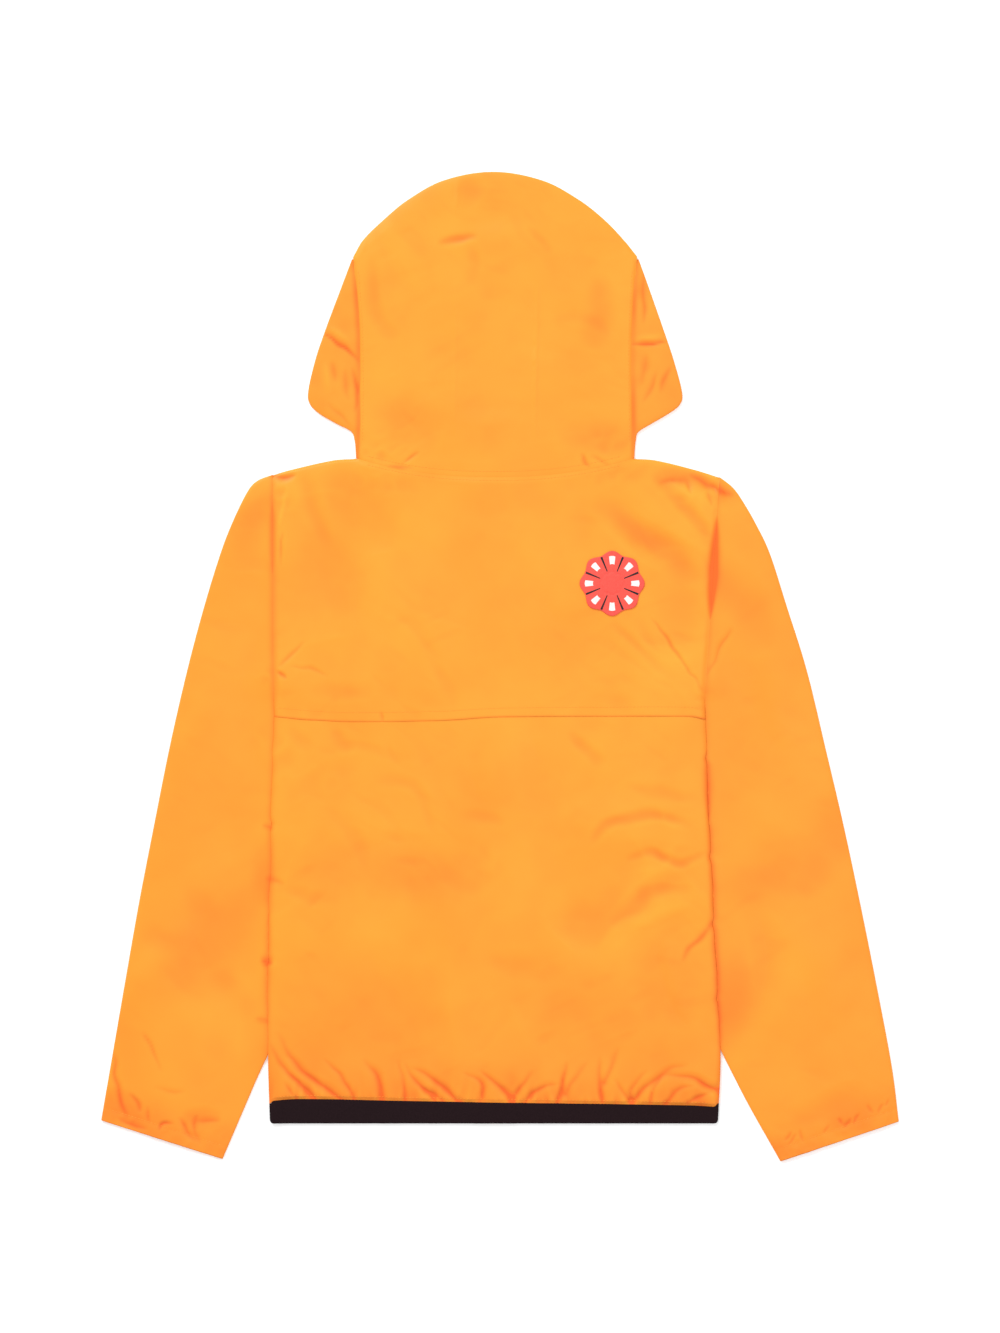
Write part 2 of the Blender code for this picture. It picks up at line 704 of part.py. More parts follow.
def sleeve(side):
    """A sleeve: a flattened tube, open at the armhole and at the cuff."""
    table = LEFT_SLEEVE if side < 0 else RIGHT_SLEEVE
    cuff_outer, cuff_inner = Vector(table[-1][:2]), Vector(table[-1][2:])
    cuff_way = (cuff_inner - cuff_outer).normalized()
    length = 0.62
    plain = 1 - CUFF_HEIGHTS[0] / length - 0.05
    stations = [plain * i / (SLEEVE_STATIONS - 1) for i in range(SLEEVE_STATIONS)]
    stations += [1 - up / length for up in CUFF_HEIGHTS]
    rows = []
    for s in stations:
        ox, oy, ix, iy = row_at(table, s)
        outer, inner = Vector((ox, oy)), Vector((ix, iy))
        width = (inner - outer).length
        row_way = (inner - outer) / width
        into_outer = row_way / slant(table, s, 0, row_way)
        into_inner = -row_way / slant(table, s, 2, row_way)
        fine = s > plain
        tops, bottoms = (22, 10) if fine else (11, 6)

        def heights(t):
            p = outer.lerp(inner, t)
            return sleeve_heights(p.x, p.y, t * width, (1 - t) * width, abs((p - cuff_outer).cross(cuff_way)))

        def layer(count, top):
            """Points of one layer from the outer edge to the inner one, as (outside, inside)."""
            made = []
            for i in range(count + 1):
                t = i / count
                p = q = outer.lerp(inner, t)
                if i == 0:
                    p, q = outer + into_outer * ROUND, outer + into_outer * 2 * ROUND
                if i == count:
                    p, q = inner + into_inner * ROUND, inner + into_inner * 2 * ROUND
                z = heights(t)[1 if top else 0]
                low, high = Vector((*p, z)), Vector((*q, z + WALL))
                if top:
                    low, high = Vector((*q, z)), Vector((*p, z + WALL))
                made.append((high, low) if top else (low, high))
            return made

        def fold(point, way, t):
            z = heights(t)[0] + WALL + CLEAR / 2
            return Vector((*point, z)), Vector((*(point + way * WALL), z))

        ring = layer(tops, True) + [fold(inner, into_inner, 1.0)]
        ring += layer(bottoms, False)[::-1] + [fold(outer, into_outer, 0.0)]
        shares = [0.5 * i / (tops + 1) for i in range(tops + 2)]
        shares += [0.5 + 0.5 * (i + 1) / (bottoms + 3) for i in range(bottoms + 2)]
        rows.append([(u, p, q) for u, (p, q) in zip(shares, ring)])
    return wall("sleeve_left" if side < 0 else "sleeve_right", rows, NYLON, closed=True)


def hood_floor(x, y):
    return waves(x, y) + zip_lift(x, y)


def crown_y(x):
    return spline(CROWN, x)[0]


def hood_back_z(x, y):
    """Underside of the hood's back."""
    from_crown = (crown_y(x) - y) * 0.75
    left, right = spline(CREASES, y)
    from_crease = min(x - left, right - x)
    at_neck = step(0.040, 0.0, y - back_top_y(x))
    middle = HOOD_EDGE_GAP + (HOOD_LOFT - HOOD_EDGE_GAP) * rise(from_crease, 0.045)
    middle += (CLEAR + LOFT - middle) * at_neck * step(0.0, 0.030, from_crease)
    sag = 0.0007 * step(0.10, 0.02, Vector((x - CENTRE_X, y - 0.335)).length)
    gap = CLEAR + (middle - CLEAR) * rise(from_crown, 0.022) + folds(x, y) * step(0.0, 0.02, from_crown)
    least = HOOD_EDGE_GAP * step(0.030, 0.010, from_crease) * rise(from_crown, 0.010)
    gap = min(LARGEST_GAP, max(CLEAR, least, gap - sag))
    return WALL + gap + waves(x, y) + 0.60 * zip_lift(x, y)


def hood_back():
    """The wide back of the hood, from the neck seam over the crown and a little way under it."""
    rows = []
    left, right = CROWN[0][0], CROWN[-1][0]
    shares = [0.0, 0.03] + [0.03 + 0.94 * i / 12 for i in range(1, 13)] + [1.0]
    for u in shares:
        x_top = left + (right - left) * u
        edge_y = crown_y(x_top)

        def x_at(y, u=u, x_top=x_top):
            a, b = spline(CREASES, y)
            return a + (b - a) * u if y < BRIM_Y else x_top

        start = back_top_y(x_at(NECK_Y)) + CLEAR
        ys = spaced(start, BRIM_Y, 0.0245)
        ys += spaced(BRIM_Y, edge_y - 0.0011, 0.0135)[1:]
        top = [(x_at(y), y, hood_back_z(x_at(y), y)) for y in ys]
        floor = waves(x_top, edge_y)
        edge = (x_top, edge_y, floor + WALL + CLEAR / 2)
        span = edge_y - BRIM_Y
        turn = min(0.0011, span * 0.3)
        unders = [edge_y - turn] + [edge_y - turn - (span - turn) * k / 3 for k in range(1, 4)]
        bottom = [(x_top, y, waves(x_top, y)) for y in unders]
        row = fold_row(top, edge, Vector((0, -1, 0)), bottom)
        total = len(top)
        shares_row = [0.75 * i / (total - 1) for i in range(total)] + [0.8, 0.85, 0.9, 0.95, 1.0]
        rows.append([(share, p, q) for share, (_, p, q) in zip(shares_row, row)])
    return wall("hood_back", rows, NYLON)


def hood_side(side):
    """A side of the hood: from under the back's crease, out round the fold and under to the face opening."""
    table = LEFT_HOOD_SIDE if side < 0 else RIGHT_HOOD_SIDE
    rows = []
    for k in range(HOOD_SIDE_ROWS):
        s = k / (HOOD_SIDE_ROWS - 1)
        ox, oy, ix, iy, to_neck = row_at(table, s)
        out = Vector((ox, oy))
        crease_x = spline(CREASES, min(oy, CREASES[0][0]))[0 if side < 0 else 1]
        tuck = CREASE_TUCK * (0.45 + 0.55 * step(NECK_Y, NECK_Y + 0.02, oy))
        start = Vector((crease_x - side * tuck, oy + 0.001 * step(0.0, 0.5, s) * step(0.95, 0.8, s)))
        width = (start - out).length
        top = []
        for t in [0.0, 0.22, 0.45, 0.68, 0.88]:
            p = start.lerp(out, t)
            from_edge = (1 - t) * width
            hidden = step(-0.004, 0.006, (p.x - crease_x) * -side)
            swell = 0.0011 * rise(from_edge, 0.018) * (1 - hidden) * step(0.0, 0.16, s)
            wrinkle = sum(crease(p.x, p.y, row) for row in SIDE_FOLDS) * rise(from_edge, 0.01) * 0.8
            gap = max(CLEAR, CLEAR + SIDE_PUFF * step(0.0, 0.12, s) + swell + wrinkle * (1 - hidden))
            top.append((p.x, p.y, hood_floor(p.x, p.y) + WALL + gap))
        p = start.lerp(out, max(0.9, 1 - ROUND / width))
        top.append((p.x, p.y, hood_floor(p.x, p.y) + WALL + CLEAR))
        limit = CENTRE_X + side * (ZIP_OPENING + CLEAR)
        inner = Vector((min(ix, limit) if side < 0 else max(ix, limit), iy))
        length = (inner - out).length
        bottom = []
        for t in [ROUND / length, 0.12, 0.28, 0.46, 0.64, 0.82, 1.0]:
            p = out.lerp(inner, t)
            if to_neck > 0:
                p.y += (front_top_y(p.x) + CLEAR - p.y) * to_neck**2 * step(0.0, 0.2, t)
            bottom.append((p.x, p.y, hood_floor(p.x, p.y)))
        edge = (out.x, out.y, hood_floor(out.x, out.y) + WALL + CLEAR / 2)
        direction = (inner - out).normalized()
        rows.append(fold_row(top, edge, Vector((direction.x, direction.y, 0)), bottom))
    return wall("hood_side_left" if side < 0 else "hood_side_right", rows, NYLON)


def hem_band():
    """A knit strip round the hem, folded at both sides and open at the zip."""
    heights = [HEM_TOP_Y - CLEAR, HEM_TOP_Y - 0.009, HEM_Y]
    rows = []
    for y in heights:
        left, right = side_x(y)
        if y == HEM_Y:
            left, right = left + 0.001, right - 0.001

        def under(x):
            return front_z(x, HEM_TOP_Y)

        def over(x):
            back = body_floor(x, HEM_TOP_Y) + WALL + body_gap(x, HEM_TOP_Y)
            return max(under(x) + BAND_WALL + max(CLEAR, zip_ridge(x)), back)

        samples = []
        for x in spaced(CENTRE_X - ZIP_OPENING, left + ROUND, 0.022):
            q = max(x, left + 2 * ROUND)
            samples.append((Vector((x, y, under(x))), Vector((q, y, under(x) + BAND_WALL))))
        z = under(left) + BAND_WALL + CLEAR / 2
        samples.append((Vector((left, y, z)), Vector((left + BAND_WALL, y, z))))
        for x in spaced(left + ROUND, right - ROUND, 0.018):
            q = min(right - 2 * ROUND, max(x, left + 2 * ROUND))
            samples.append((Vector((x, y, over(x) + BAND_WALL)), Vector((q, y, over(x)))))
        z = under(right) + BAND_WALL + CLEAR / 2
        samples.append((Vector((right, y, z)), Vector((right - BAND_WALL, y, z))))
        for x in spaced(right - ROUND, CENTRE_X + ZIP_OPENING, 0.022):
            q = min(x, right - 2 * ROUND)
            samples.append((Vector((x, y, under(x))), Vector((q, y, under(x) + BAND_WALL))))
        last = len(samples) - 1
        rows.append([(i / last, p, q) for i, (p, q) in enumerate(samples)])
    return wall("hem_band", rows, KNIT)


def zip_half(side):
    """Half of the closed zip: a tape inside the front's edge and a rib of teeth beside the centre line."""
    neckline, lowest = front_top_y(CENTRE_X), body_rows()[0]
    ys = [HEM_Y + 0.001] + [HEM_TOP_Y + up for up in FRONT_HEM_HEIGHTS[::-1]] + body_rows()[::-1]
    ys += [neckline + (lowest - neckline) * v for v in FRONT_SHARES[::-1]]
    ys += spaced(neckline, ZIP_TOP_Y, 0.010)[1:]
    meeting = 0.00015
    profile = [
        # distance from the centre line, height
        (meeting, RIB_LOW),
        (RIB_HALF, RIB_LOW),
        (RIB_HALF, TAPE_Z),
        (TAPE_REACH, TAPE_Z),
        (TAPE_REACH, ZIP_TOP),
        (meeting, ZIP_TOP),
    ]
    bm = bmesh.new()
    rings = []
    for y in ys:
        ring = []
        for away, z in profile:
            x = CENTRE_X + side * away
            ring.append(bm.verts.new((x, y, z + front_z(x, max(y, HEM_TOP_Y)))))
        rings.append(ring)
    for a, b in zip(rings, rings[1:]):
        for i in range(len(profile)):
            j = (i + 1) % len(profile)
            bm.faces.new((a[i], a[j], b[j], b[i]))
    bm.faces.new(rings[0])
    bm.faces.new(rings[-1])
    bmesh.ops.triangulate(bm, faces=bm.faces)
    return add_object("zip_left" if side < 0 else "zip_right", bm, TAPE)


def box(name, low, high, kind):
    bm = bmesh.new()
    for v in bmesh.ops.create_cube(bm, size=1.0)["verts"]:
        v.co = Vector([low[k] + (high[k] - low[k]) * (v.co[k] + 0.5) for k in range(3)])
    return add_object(name, bm, kind)


def combine(base, other, operation):
    """A Boolean of two bodies, with the second kept as a hidden cutter."""
    modifier = base.modifiers.new(operation.lower(), "BOOLEAN")
    modifier.operation = operation
    modifier.solver = "EXACT"
    modifier.object = other
    other.hide_render = True
    other.display_type = "WIRE"


def zip_slider():
    """Two plates round the ribs, a post between them, and the bail that holds the pull."""
    half_x, half_y = SLIDER_SIZE[0] / 2, SLIDER_SIZE[1] / 2
    channel = ZIP_LIFT + RIB_LOW - SLIDER_PLAY, ZIP_LIFT + ZIP_TOP + SLIDER_PLAY
    x, y = CENTRE_X, SLIDER_Y
    bite = 0.0002
    post_half, post_start, post_end = 0.0016, 0.0020, half_y - 0.0005
    bail_x, bail_y, bail_post = BAIL[0] / 2, BAIL[1] / 2, BAIL[2]
    bail_top = SLIDER_Z + bite

    def block(name, half, ys, zs):
        """A box centred on the zip: half its width, then its extent along and across the slider."""
        return box(name, (x - half, y + ys[0], zs[0]), (x + half, y + ys[1], zs[1]), METAL)

    slider = block("zip_slider", half_x, (-half_y, half_y), (SLIDER_Z, channel[0]))
    pieces = [
        block("upper_plate", half_x, (-half_y, half_y), (channel[1], channel[1] + SLIDER_PLATE)),
        block("post", post_half, (post_start, post_end), (channel[0] - bite, channel[1] + bite)),
        block("bail_low", bail_x, (-bail_y, bail_post - bail_y), (BAIL_Z[0], bail_top)),
        block("bail_high", bail_x, (bail_y - bail_post, bail_y), (BAIL_Z[0], bail_top)),
        block("bail_bridge", bail_x, (bite - bail_y, bail_y - bite), BAIL_Z),
    ]
    for piece in pieces:
        combine(slider, piece, "UNION")
    return slider


def zip_pull():
    """A flat tab whose window the bail passes through; the bar above the window turns under the bail."""
    axis_y, axis_z = PULL_AXIS
    half = PULL_BAR / 2
    width, length = PULL_SIZE
    window_width, window_length = PULL_WINDOW
    x = CENTRE_X
    top, bottom = axis_z + half, axis_z - half
    start = axis_y + half
    low_corner, high_corner = (x - width / 2, start - length, bottom), (x + width / 2, start, top)
    tab = box("zip_pull", low_corner, high_corner, METAL)
    window_top = axis_y - half
    cutter = box(
        "pull_window",
        (x - window_width / 2, window_top - window_length, bottom - half),
        (x + window_width / 2, window_top, top + half),
        METAL,
    )
    combine(tab, cutter, "DIFFERENCE")
    return tab


def patch(panel):
    """A round patch with shallow lobes, laid on the panel's own surface."""
    surface = BVHTree.FromObject(panel, bpy.context.evaluated_depsgraph_get())
    points, rings = 4 * PATCH_LOBES, 3
    x0, y0 = PATCH_CENTRE

    def place(ring, k):
        angle = 2 * math.pi * k / points
        reach = PATCH_RADIUS * (1 - PATCH_LOBE_DEPTH * (0.5 - 0.5 * math.cos(PATCH_LOBES * angle)))
        x = x0 + reach * ring / rings * math.sin(angle)
        y = y0 + reach * ring / rings * math.cos(angle)
        hit = surface.ray_cast(Vector((x, y, 1.0)), Vector((0, 0, -1)))[0]
        return Vector((x, y, hit.z + PATCH_GAP))

    bm = bmesh.new()
    lift = Vector((0, 0, PATCH_WALL))
    layers = []
    for top in (False, True):
        move = lift if top else Vector()
        grid = [[bm.verts.new(place(0, 0) + move)] * points]
        for ring in range(1, rings + 1):
            grid.append([bm.verts.new(place(ring, k) + move) for k in range(points)])
        layers.append(grid)
    for grid in layers:
        for k in range(points):
            j = (k + 1) % points
            bm.faces.new((grid[0][0], grid[1][k], grid[1][j]))
            for ring in range(1, rings):
                a, b = grid[ring], grid[ring + 1]
                bm.faces.new((a[k], b[k], b[j], a[j]))
    for k in range(points):
        j = (k + 1) % points
        a, b = layers[0][rings], layers[1][rings]
        bm.faces.new((a[k], a[j], b[j], b[k]))
    bmesh.ops.triangulate(bm, faces=bm.faces)
    return add_object("patch", bm, RED)


def main():
    for old in list(bpy.data.objects):
        bpy.data.objects.remove(old)
    patch(back_yoke())
    back_lower()
    for side in (-1, 1):
        front(side)
        sleeve(side)
        hood_side(side)
        zip_half(side)
    hood_back()
    hem_band()
    zip_slider()
    zip_pull()


main()
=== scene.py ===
"""Looks of a hooded nylon rain jacket that lies flat, back uppermost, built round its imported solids.

+Z is up from the surface, +Y points to the crown of the hood, and left is the wearer's left, at -X.
All lengths are metres. Each cloth piece is one dense sheet on the outer face of its solid.
"""

import math

import bmesh
import bpy
import numpy as np
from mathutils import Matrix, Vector
from mathutils.bvhtree import BVHTree


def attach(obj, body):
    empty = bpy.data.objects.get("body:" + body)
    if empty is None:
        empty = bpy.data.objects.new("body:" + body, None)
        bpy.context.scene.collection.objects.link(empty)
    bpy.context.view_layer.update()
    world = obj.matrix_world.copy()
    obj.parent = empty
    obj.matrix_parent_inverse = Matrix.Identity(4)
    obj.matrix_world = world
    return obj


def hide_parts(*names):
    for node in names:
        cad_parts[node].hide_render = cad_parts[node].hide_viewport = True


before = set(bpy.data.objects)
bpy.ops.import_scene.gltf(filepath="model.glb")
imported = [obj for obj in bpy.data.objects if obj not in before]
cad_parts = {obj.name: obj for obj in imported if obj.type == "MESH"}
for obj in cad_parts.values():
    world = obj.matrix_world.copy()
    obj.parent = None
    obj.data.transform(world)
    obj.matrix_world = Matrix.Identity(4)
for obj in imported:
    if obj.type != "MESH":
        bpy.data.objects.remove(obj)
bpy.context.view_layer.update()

# The same sizes as in the solids.
WALL = 0.0010
CLEAR = 0.0003
LOFT = 0.0026
LARGEST_GAP = 0.0038
FOLDED_SLEEVE = 2 * WALL + CLEAR
ROUND = 0.0012
CENTRE_X = -0.005
ARMPIT_Y = -0.034
HEM_TOP_Y = -0.4365
HEM_Y = -0.4570
NECK_Y = 0.208
NECK_HALF = 0.139
BACK_NECK_DIP = 0.019
FRONT_NECK_DROP = 0.064
FLAP_Y = -0.051
FLAP_LAP = 0.017
BAND_WALL = 0.0012
CREASE_TUCK = 0.010
BRIM_Y = 0.408
HOOD_LOFT = 0.0031
HOOD_EDGE_GAP = 0.0027
SIDE_PUFF = 0.0004
ZIP_OPENING = 0.0040
TAPE_REACH = 0.016
TAPE_WALL = 0.0007
TAPE_Z = 0.0015
RIB_HALF = 0.0028
ZIP_TOP = TAPE_Z + TAPE_WALL
ZIP_TOP_Y = 0.2215
ZIP_LIFT = 0.00225
PATCH_CENTRE = (0.112, 0.083)
PATCH_RADIUS = 0.0325
PATCH_LOBES = 8
PATCH_LOBE_DEPTH = 0.10

ARMHOLES = [
    # y, left x, right x
    (0.190, -0.2275, 0.2195),
    (-0.034, -0.2262, 0.2050),
]
SIDES = [
    # y, left x, right x
    (-0.034, -0.2262, 0.2050),
    (-0.070, -0.2268, 0.2065),
    (-0.114, -0.2285, 0.2080),
    (-0.184, -0.2295, 0.2110),
    (-0.284, -0.2315, 0.2150),
    (-0.384, -0.2320, 0.2205),
    (-0.457, -0.2300, 0.2180),
]
LEFT_SHOULDER = [(-0.2275, 0.1915), (-0.2110, 0.1965), (-0.1665, 0.2065), (-0.1440, 0.2080)]
RIGHT_SHOULDER = [(0.1340, 0.2080), (0.1555, 0.2065), (0.1965, 0.1965), (0.2195, 0.1892)]
FLAP_EDGE = [
    # x, y
    (-0.2262, -0.0500),
    (-0.1600, -0.0545),
    (-0.0600, -0.0535),
    (0.0000, -0.0505),
    (0.1000, -0.0495),
    (0.1900, -0.0495),
    (0.2058, -0.0525),
]
LEFT_SLEEVE = [
    # outer x, outer y, inner x, inner y
    (-0.2278, 0.1915, -0.2265, -0.0340),
    (-0.2420, 0.1862, -0.2265, -0.0358),
    (-0.2520, 0.1760, -0.2265, -0.0376),
    (-0.2660, 0.1480, -0.2264, -0.0415),
    (-0.2790, 0.1150, -0.2260, -0.0460),
    (-0.2960, 0.0600, -0.2250, -0.0530),
    (-0.3130, -0.0040, -0.2190, -0.0780),
    (-0.3300, -0.0780, -0.2040, -0.1240),
    (-0.3460, -0.1580, -0.1950, -0.1900),
    (-0.3615, -0.2380, -0.1970, -0.2620),
    (-0.3755, -0.3180, -0.2140, -0.3440),
    (-0.3890, -0.3960, -0.2465, -0.4200),
    (-0.3990, -0.4538, -0.2775, -0.4926),
]
RIGHT_SLEEVE = [
    # outer x, outer y, inner x, inner y
    (0.2198, 0.1892, 0.2053, -0.0340),
    (0.2325, 0.1795, 0.2053, -0.0358),
    (0.2420, 0.1668, 0.2053, -0.0376),
    (0.2558, 0.1430, 0.2052, -0.0415),
    (0.2700, 0.1130, 0.2048, -0.0460),
    (0.2870, 0.0600, 0.2035, -0.0530),
    (0.3070, -0.0040, 0.1975, -0.0780),
    (0.3260, -0.0830, 0.1840, -0.1240),
    (0.3440, -0.1600, 0.1770, -0.1900),
    (0.3610, -0.2400, 0.1830, -0.2620),
    (0.3770, -0.3200, 0.2040, -0.3440),
    (0.3920, -0.4000, 0.2400, -0.4220),
    (0.3990, -0.4550, 0.2805, -0.4950),
]
CROWN = [
    # x, y
    (-0.1468, 0.4100),
    (-0.1375, 0.4260),
    (-0.1175, 0.4460),
    (-0.0935, 0.4660),
    (-0.0575, 0.4860),
    (-0.0070, 0.4950),
    (0.0435, 0.4860),
    (0.0805, 0.4660),
    (0.1055, 0.4460),
    (0.1245, 0.4260),
    (0.1370, 0.4105),
]
CREASES = [
    # y, left x, right x
    (0.410, -0.1468, 0.1370),
    (0.330, -0.1415, 0.1330),
    (0.240, -0.1415, 0.1335),
    (0.208, -0.1430, 0.1340),
]
LEFT_HOOD_SIDE = [
    # outer x, outer y, inner x, inner y, share of the way to the front neckline
    (-0.1482, 0.4072, -0.0710, 0.4072, 0.0),
    (-0.1600, 0.3760, -0.0870, 0.3760, 0.0),
    (-0.1750, 0.3360, -0.0950, 0.3360, 0.0),
    (-0.1850, 0.3060, -0.0910, 0.3110, 0.0),
    (-0.1918, 0.2760, -0.0790, 0.2840, 0.0),
    (-0.1905, 0.2630, -0.0590, 0.2640, 0.0),
    (-0.1810, 0.2530, -0.0340, 0.2490, 0.0),
    (-0.1640, 0.2430, -0.0092, 0.2400, 0.0),
    (-0.1490, 0.2350, -0.0092, 0.2260, 0.2),
    (-0.1455, 0.2260, -0.0092, 0.2040, 0.5),
    (-0.1445, 0.2170, -0.0092, 0.1740, 0.8),
    (-0.1440, 0.2086, -0.0092, 0.1445, 1.0),
]
RIGHT_HOOD_SIDE = [
    # outer x, outer y, inner x, inner y, share of the way to the front neckline
    (0.1388, 0.4072, 0.0610, 0.4072, 0.0),
    (0.1500, 0.3760, 0.0770, 0.3760, 0.0),
    (0.1640, 0.3360, 0.0850, 0.3360, 0.0),
    (0.1740, 0.3060, 0.0810, 0.3110, 0.0),
    (0.1822, 0.2745, 0.0690, 0.2840, 0.0),
    (0.1800, 0.2620, 0.0490, 0.2640, 0.0),
    (0.1690, 0.2530, 0.0240, 0.2490, 0.0),
    (0.1520, 0.2430, -0.0008, 0.2400, 0.0),
    (0.1385, 0.2345, -0.0008, 0.2260, 0.2),
    (0.1360, 0.2260, -0.0008, 0.2040, 0.5),
    (0.1350, 0.2170, -0.0008, 0.1740, 0.8),
    (0.1345, 0.2086, -0.0008, 0.1445, 1.0),
]

# Soft waves that lift both layers off the surface, as in the solids.
WAVES = [
    # half width, height, line
    (0.055, 0.0022, (-0.150, 0.090), (-0.030, 0.010)),
    (0.050, 0.0024, (0.060, 0.070), (0.150, 0.130)),
    (0.048, 0.0026, (0.080, -0.150), (0.130, -0.215)),
    (0.060, 0.0022, (-0.120, -0.190), (-0.020, -0.280)),
    (0.045, 0.0016, (-0.040, -0.110), (0.060, -0.090)),
    (0.030, 0.0018, (-0.270, 0.040), (-0.300, -0.080)),
    (0.034, 0.0022, (-0.320, -0.260), (-0.345, -0.370)),
    (0.030, 0.0018, (0.265, 0.020), (0.300, -0.090)),
    (0.036, 0.0022, (0.315, -0.240), (0.345, -0.360)),
    (0.034, 0.0014, (-0.060, 0.420), (0.040, 0.430)),
]

# Soft folds of the cloth on top, placed one by one; a trough has a negative height, and the widest are sags.
YOKE_FOLDS = [
    # half width, height, points
    (0.022, -0.0028, (0.090, 0.174), (0.121, 0.147), (0.147, 0.127), (0.173, 0.112), (0.208, 0.092)),
    (0.016, 0.0006, (0.108, 0.184), (0.156, 0.154), (0.202, 0.120)),
    (0.012, -0.0012, (0.152, 0.188), (0.180, 0.167), (0.200, 0.144), (0.208, 0.114)),
    (0.020, -0.0024, (0.146, 0.184), (0.196, 0.184), (0.246, 0.162)),
    (0.010, -0.0005, (0.108, 0.048), (0.143, 0.014), (0.178, -0.014)),
    (0.010, -0.0004, (0.134, 0.050), (0.160, 0.010)),
    (0.044, -0.0018, (0.160, 0.096), (0.180, 0.050), (0.186, 0.010)),
    (0.014, -0.0008, (-0.205, 0.196), (-0.191, 0.172), (-0.182, 0.154), (-0.168, 0.118)),
    (0.060, -0.0027, (-0.206, 0.150), (-0.186, 0.080), (-0.180, 0.010)),
    (0.044, -0.0021, (-0.186, 0.214), (-0.156, 0.160), (-0.130, 0.096)),
    (0.012, -0.0003, (-0.102, 0.054), (-0.074, 0.022), (-0.054, -0.018), (-0.042, -0.042)),
    (0.012, -0.0006, (-0.192, -0.026), (-0.160, -0.024), (-0.124, -0.026)),
]
BACK_FOLDS = [
    # half width, height, points
    (0.011, -0.0004, (-0.214, -0.062), (-0.186, -0.086)),
    (0.011, -0.0004, (-0.170, -0.062), (-0.148, -0.086)),
    (0.012, -0.0005, (-0.124, -0.122), (-0.100, -0.115), (-0.082, -0.126), (-0.064, -0.168)),
    (0.012, -0.0005, (-0.174, -0.140), (-0.154, -0.158), (-0.142, -0.176), (-0.134, -0.202)),
    (0.012, -0.0004, (-0.042, -0.150), (-0.016, -0.152), (0.006, -0.158)),
    (0.015, -0.0004, (-0.064, -0.186), (-0.048, -0.210), (-0.026, -0.220), (0.002, -0.200)),
    (0.010, -0.0004, (-0.224, -0.218), (-0.200, -0.228), (-0.170, -0.234)),
    (0.062, -0.0021, (-0.200, -0.176), (-0.110, -0.212), (-0.010, -0.200)),
    (0.076, -0.0027, (-0.280, -0.330), (-0.160, -0.356), (-0.040, -0.350)),
    (0.024, -0.0006, (-0.020, -0.290), (0.020, -0.300), (0.070, -0.306)),
    (0.010, -0.0006, (0.070, -0.062), (0.086, -0.082), (0.106, -0.100)),
    (0.011, -0.0005, (0.126, -0.120), (0.160, -0.126), (0.200, -0.132)),
    (0.010, -0.0011, (0.092, -0.180), (0.106, -0.161), (0.140, -0.147), (0.166, -0.151), (0.198, -0.158)),
    (0.012, 0.0003, (0.112, -0.174), (0.150, -0.168), (0.212, -0.172)),
    (0.008, -0.0011, (0.126, -0.192), (0.150, -0.186), (0.166, -0.191), (0.182, -0.195), (0.210, -0.186)),
    (0.019, -0.0020, (0.112, -0.256), (0.140, -0.234), (0.160, -0.221), (0.196, -0.216)),
    (0.010, 0.0005, (0.096, -0.284), (0.121, -0.261), (0.143, -0.253), (0.166, -0.244), (0.200, -0.238)),
    (0.040, -0.0021, (0.052, -0.274), (0.094, -0.236), (0.140, -0.194)),
    (0.070, -0.0029, (0.034, -0.356), (0.150, -0.338), (0.250, -0.310)),
]
SLEEVE_FOLDS = [
    # half width, height, points
    (0.032, -0.0016, (-0.228, 0.204), (-0.246, 0.150), (-0.264, 0.090)),
    (0.070, -0.0021, (-0.410, -0.290), (-0.300, -0.224), (-0.190, -0.176)),
    (0.020, -0.0003, (-0.322, -0.232), (-0.272, -0.248)),
    (0.020, -0.0003, (-0.368, -0.262), (-0.318, -0.280)),
    (0.020, -0.0006, (-0.234, -0.166), (-0.240, -0.238)),
    (0.024, -0.0006, (-0.288, -0.296), (-0.258, -0.352)),
    (0.036, -0.0010, (-0.378, -0.346), (-0.346, -0.430)),
    (0.018, -0.0014, (-0.402, -0.426), (-0.348, -0.462)),
    (0.014, -0.0010, (-0.318, -0.454), (-0.280, -0.454)),
    (0.022, -0.0008, (0.290, -0.452), (0.376, -0.424)),
    (0.022, -0.0002, (-0.294, -0.352), (-0.276, -0.410)),
    (0.036, 0.0002, (-0.372, -0.292), (-0.312, -0.340), (-0.296, -0.400)),
    (0.036, -0.0015, (0.226, 0.120), (0.252, 0.000)),
    (0.058, -0.0015, (0.400, -0.140), (0.310, -0.210), (0.210, -0.262)),
    (0.044, -0.0016, (0.276, -0.262), (0.246, -0.312), (0.220, -0.372)),
    (0.030, -0.0004, (0.330, -0.196), (0.300, -0.236)),
    (0.034, 0.0005, (0.272, -0.322), (0.320, -0.290), (0.376, -0.256)),
]
HOOD_FOLDS = [
    # half width, height, points
    (0.010, -0.0004, (-0.030, 0.424), (-0.028, 0.404), (-0.030, 0.378)),
    (0.018, 0.0006, (-0.120, 0.444), (-0.094, 0.408), (-0.070, 0.368)),
    (0.013, -0.0007, (-0.128, 0.416), (-0.128, 0.370), (-0.122, 0.342), (-0.102, 0.324)),
    (0.010, -0.0004, (0.050, 0.348), (0.090, 0.346), (0.112, 0.332)),
    (0.036, -0.0012, (-0.140, 0.274), (-0.094, 0.246), (-0.056, 0.236)),
    (0.032, -0.0011, (0.046, 0.240), (0.098, 0.236), (0.136, 0.246)),
    (0.028, -0.0011, (0.114, 0.394), (0.104, 0.356), (0.098, 0.322)),
    (0.022, -0.0007, (-0.044, 0.488), (-0.022, 0.458)),
    (0.007, -0.0013, (-0.062, 0.425), (-0.042, 0.429), (-0.022, 0.430)),
    (0.007, -0.0004, (0.028, 0.440), (0.054, 0.414)),
]
